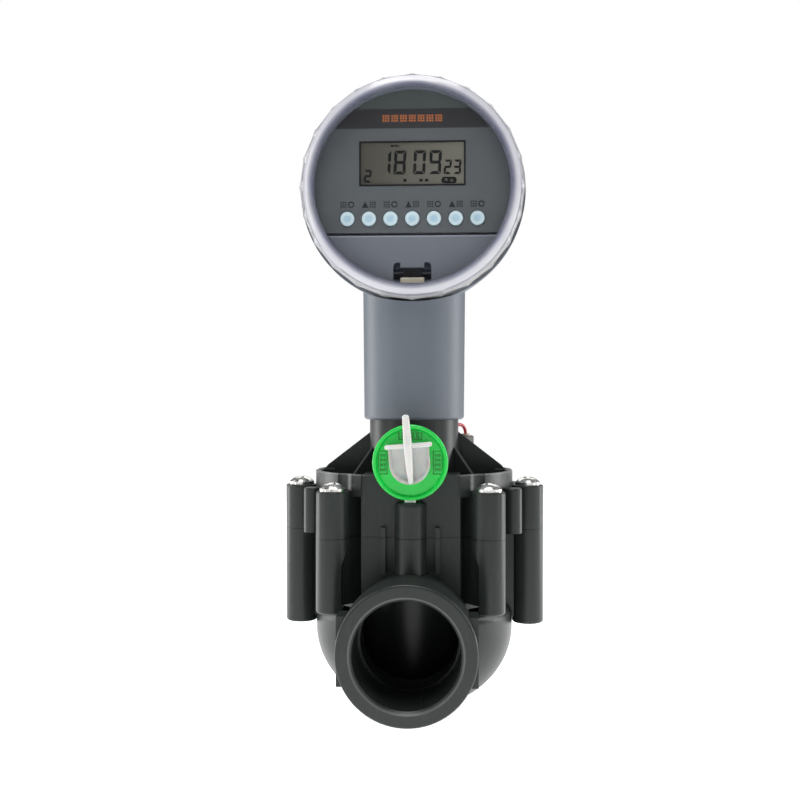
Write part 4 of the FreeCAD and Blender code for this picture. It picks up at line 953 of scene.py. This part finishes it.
class TIMER_OT_selector(bpy.types.Operator):
    """Build the selector's green dial and white handle"""

    bl_idname = "timer.selector"
    bl_label = "Selector"

    def execute(self, context):
        self.dial()
        self.handle()
        return {"FINISHED"}

    def dial(self):
        back = DIAL_HIGH.y
        rim = DIAL_LOW.y
        face = rim + 1.6 * MM
        outline = [(5.3 * MM, back), (DIAL_R - 0.4 * MM, back), (DIAL_R, back - 0.4 * MM)]
        round_r = 0.8 * MM
        outline += [(DIAL_R - round_r + round_r * cos(radians(a)), rim + round_r - round_r * sin(radians(a)))
                    for a in range(0, 91, 15)]
        outline += [(DIAL_R - 1.5 * MM, rim + 0.15 * MM), (DIAL_R - 2.0 * MM, face - 0.3 * MM),
                    (DIAL_R - 2.4 * MM, face), (8.0 * MM, face), (5.3 * MM, face), (5.3 * MM, back)]
        disc = lathe(outline, Vector((DIAL.x, 0, DIAL.z)), steps=96)
        parts = [disc]
        bars = []
        for turn in (0, 90, -90):
            bars.append(self.turned(self.label_frame(face), turn))
            bars.append(self.turned(self.label_bars(face), turn))
        for turn in range(-165, 180, 15):
            if abs(turn) > 120:
                parts.append(self.tick(turn, face))
        piece("dial_disc", merge(*parts), "valve", glossy_green(), ["selector_dial"])
        # the bars carry painted shade
        piece("dial_bars", merge(*bars), "valve", dial_bar_shade())

    def turned(self, bm, turn):
        """Turn a shape made at the top of the dial to another place on it."""
        bmesh.ops.rotate(bm, cent=DIAL, matrix=Matrix.Rotation(radians(turn), 3, "Y"), verts=bm.verts)
        return bm

    def label_frame(self, face):
        """A shaded frame at the top of the dial."""
        z = DIAL.z + LABEL_R
        bars = []
        sides = ((0, 1.9, 10.2, 0.4), (0, -1.9, 10.2, 0.4), (-5.0, 0, 0.4, 4.1), (5.0, 0, 0.4, 4.1))
        for dx, dz, width, height in sides:
            outline = round_box(DIAL.x + dx * MM, z + dz * MM, width * MM, height * MM, 0.12 * MM, 2)
            bars.append(outline_plate(outline, face + 0.1 * MM, face - 0.1 * MM))
        return merge(*bars)

    def label_bars(self, face):
        """Generic raised bars that stand for the dial's words."""
        z = DIAL.z + LABEL_R
        bars = []
        for number in range(4):
            x = DIAL.x + (number - 1.5) * 2.1 * MM
            for dz, width in ((0.9, 1.5), (0.0, 1.1), (-0.9, 1.5)):
                outline = round_box(x, z + dz * MM, width * MM, 0.5 * MM, 0.12 * MM, 2)
                bars.append(outline_plate(outline, face + 0.1 * MM, face - 0.35 * MM))
        return merge(*bars)

    def tick(self, turn, face):
        outline = round_box(DIAL.x, DIAL.z + 12.9 * MM, 0.5 * MM, 1.6 * MM, 0.15 * MM, 2)
        return self.turned(outline_plate(outline, face + 0.1 * MM, face - 0.25 * MM), turn)

    def handle(self):
        """Hollow rounded body, top bar and the long fin with its rounded tip."""
        back = DIAL_LOW.y + 0.2 * MM
        front = back - 6.0 * MM
        half = 8.85 * MM
        top = DIAL.z + 8.6 * MM
        round_z = DIAL.z - 0.3 * MM
        shell = self.cup(half, top, round_z, back, front)
        bar_outline = round_box(DIAL.x, top - 1.0 * MM, 20.6 * MM, 2.0 * MM, 0.9 * MM, 4)
        bar = outline_plate(bar_outline, back, front - 0.6 * MM)
        bevel_sharp(bar, 0.35 * MM)
        bm = self.turned(merge(shell, bar, self.fin(back, front, round_z - half)), -HANDLE_LEAN)
        piece("handle_body", bm, "selector", milky_white(), ["selector_handle"])

    def cup(self, half, top, round_z, back, front):
        """A U-shaped tray whose wall narrows towards the foot and whose floor is at the back."""
        outline = [(DIAL.x + half, top), (DIAL.x - half, top)]
        outline += arc((DIAL.x, round_z), half, 180, 360, 28)
        outer = outline_plate(outline, back, front)
        outer.normal_update()
        mouth = [item for item in outer.faces if item.normal.y < -0.9]
        bmesh.ops.inset_region(outer, faces=mouth, thickness=1.3 * MM, depth=0.0)
        mouth = [item for item in outer.faces if item.normal.y < -0.9 and len(item.verts) > 6]
        bmesh.ops.translate(outer, vec=(0, 4.6 * MM, 0), verts=[v for item in mouth for v in item.verts])
        bevel_sharp(outer, 0.25 * MM)
        return outer

    def fin(self, back, front, foot_z):
        """Upright blade, wider at its rounded tip, running to a point at the foot."""
        width = 3.5 * MM
        tip = DIAL.z + FIN_REACH
        crest = front - 6.0 * MM
        outline = [(back, foot_z + 0.3 * MM), (front - 3.2 * MM, foot_z + 0.2 * MM),
                   (crest, foot_z + 5.0 * MM), (crest, DIAL.z + 9 * MM),
                   (front - 5.0 * MM, tip - 1.5 * MM), (front - 3.4 * MM, tip),
                   (front - 1.4 * MM, tip - 0.3 * MM), (front, DIAL.z + 9.0 * MM), (back, DIAL.z + 8.0 * MM)]
        bm = side_plate(outline, width)
        bmesh.ops.translate(bm, vec=(DIAL.x, 0, 0), verts=bm.verts)
        for vert in bm.verts:
            low = max(0.0, min(1.0, (DIAL.z - vert.co.z) / (9.0 * MM)))
            high = 1.0 if vert.co.z > tip - 1.0 * MM else 0.0
            vert.co.x = DIAL.x + (vert.co.x - DIAL.x) * (1.0 - 0.45 * low - 0.3 * high)
        bevel_sharp(bm, 1.1 * MM, 4, 50)
        return bm


# name, degrees round from the front, degrees up, distance, width and height, watts
LIGHTS = (
    ("key", -62, 20, 0.9, (0.10, 0.9), 1.2),
    ("fill", 66, 18, 0.9, (0.08, 0.9), 0.8),
    ("front", -10, 60, 1.0, (0.4, 0.3), 2.3),
    ("edge_left", -108, 6, 0.6, (0.2, 0.9), 2.9),
    ("edge_right", 108, 6, 0.6, (0.2, 0.9), 2.9),
    ("top", 0, 82, 0.8, (0.5, 0.5), 3.0),
    ("behind", 180, 35, 1.0, (0.9, 0.6), 2.5),
)
LIGHT_TARGET_Z = 0.10
CAMERA_Z = 103.8 * MM
CAMERA_SHIFT = 6.8 * MM     # to the camera's left, so that the tower stands right of its axis
CAMERA_SWING = 3            # degrees
LENS = 48.8


class TIMER_OT_stage(bpy.types.Operator):
    """Make the floor, the soft lights, the sky and the camera"""

    bl_idname = "timer.stage"
    bl_label = "Stage"

    def execute(self, context):
        self.floor()
        self.sky()
        target = Vector((0, AXIS_Y, LIGHT_TARGET_Z))
        for name, azimuth, elevation, distance, size, power in LIGHTS:
            self.light(name, target, azimuth, elevation, distance, size, power)
        self.camera()
        context.scene.view_settings.view_transform = "Standard"
        return {"FINISHED"}

    def floor(self):
        bm = bmesh.new()
        bmesh.ops.create_grid(bm, x_segments=1, y_segments=1, size=6.0)
        bmesh.ops.translate(bm, vec=(0, AXIS_Y, FLOOR_Z - 0.05 * MM), verts=bm.verts)
        data = bpy.data.meshes.new("floor")
        bm.to_mesh(data)
        bm.free()
        data.materials.append(pale_floor())
        floor = bpy.data.objects.new("floor", data)
        bpy.context.scene.collection.objects.link(floor)

    def sky(self):
        """White behind the object, dimmer as a light, so that the lamps shape it."""
        world = bpy.data.worlds.new("studio")
        world.use_nodes = True
        nodes = world.node_tree.nodes
        back = nodes["Background"]
        ray = nodes.new("ShaderNodeLightPath")
        strength = nodes.new("ShaderNodeMix")
        strength.data_type = "FLOAT"
        strength.inputs[2].default_value = sizes().sky_glow
        strength.inputs[3].default_value = 1.0
        world.node_tree.links.new(ray.outputs["Is Camera Ray"], strength.inputs[0])
        world.node_tree.links.new(strength.outputs[0], back.inputs["Strength"])
        back.inputs["Color"].default_value = (1, 1, 1, 1)
        bpy.context.scene.world = world

    def light(self, name, target, azimuth, elevation, distance, size, power):
        data = bpy.data.lights.new(name, "AREA")
        data.shape = "RECTANGLE"
        data.size, data.size_y = size
        data.energy = power
        lamp = bpy.data.objects.new(name, data)
        a = radians(azimuth)
        e = radians(elevation)
        away = Vector((sin(a) * cos(e), -cos(a) * cos(e), sin(e)))
        lamp.location = target + away * distance
        lamp.rotation_euler = away.to_track_quat("Z", "Y").to_euler()
        bpy.context.scene.collection.objects.link(lamp)

    def camera(self):
        """Level camera, a little to the right, with the tower just right of its axis."""
        swing = radians(CAMERA_SWING)
        away = Vector((sin(swing), -cos(swing), 0))
        right = Vector((cos(swing), sin(swing), 0))
        data = bpy.data.cameras.new("camera")
        data.lens = LENS
        data.sensor_width = 36.0
        data.clip_start = 0.01
        camera = bpy.data.objects.new("camera", data)
        middle_view = Vector((0, AXIS_Y, CAMERA_Z)) + away * sizes().camera_distance
        camera.location = middle_view - right * CAMERA_SHIFT
        camera.rotation_euler = (pi / 2, 0, swing)
        bpy.context.scene.collection.objects.link(camera)
        bpy.context.scene.camera = camera


class TIMER_OT_mouth(bpy.types.Operator):
    """Add the two slim moulded ribs on the floor of the inlet"""

    bl_idname = "timer.mouth"
    bl_label = "Mouth ribs"

    def execute(self, context):
        ribs = []
        for x in (-8.0 * MM, 6.2 * MM):
            floor_z = -(BORE_R ** 2 - x ** 2) ** 0.5
            outline = [(0.5 * MM, floor_z - 0.1 * MM), (20 * MM, floor_z - 0.1 * MM),
                       (20 * MM, floor_z + 0.2 * MM), (2.0 * MM, floor_z + 0.7 * MM)]
            rib = side_plate(outline, 0.7 * MM)
            bmesh.ops.translate(rib, vec=(x, 0, 0), verts=rib.verts)
            bevel_sharp(rib, 0.12 * MM)
            ribs.append(rib)
        piece("mouth_ribs", merge(*ribs), "valve", moulded_black())
        return {"FINISHED"}


OPERATORS = (TIMER_OT_stage, TIMER_OT_finishes, TIMER_OT_cover, TIMER_OT_display, TIMER_OT_marks,
             TIMER_OT_buttons, TIMER_OT_selector, TIMER_OT_mouth)


class TIMER_PT_panel(bpy.types.Panel):
    """Lists the steps and the values"""

    bl_idname = "TIMER_PT_panel"
    bl_label = "Irrigation timer"
    bl_space_type = "VIEW_3D"
    bl_region_type = "UI"
    bl_category = "Irrigation timer"

    def draw(self, context):
        for group in (context.scene.timer_sizes, context.scene.timer_colours):
            for name in group.__annotations__:
                self.layout.prop(group, name)
        for operator in OPERATORS:
            self.layout.operator(operator.bl_idname)


CLASSES = (TimerColours, TimerSizes) + OPERATORS + (TIMER_PT_panel,)


def register():
    for item in CLASSES:
        bpy.utils.register_class(item)
    bpy.types.Scene.timer_colours = PointerProperty(type=TimerColours)
    bpy.types.Scene.timer_sizes = PointerProperty(type=TimerSizes)


def unregister():
    del bpy.types.Scene.timer_sizes
    del bpy.types.Scene.timer_colours
    for item in reversed(CLASSES):
        bpy.utils.unregister_class(item)


def main():
    register()
    for operator in OPERATORS:
        group, name = operator.bl_idname.split(".")
        getattr(getattr(bpy.ops, group), name)()


if __name__ == "__main__":
    main()
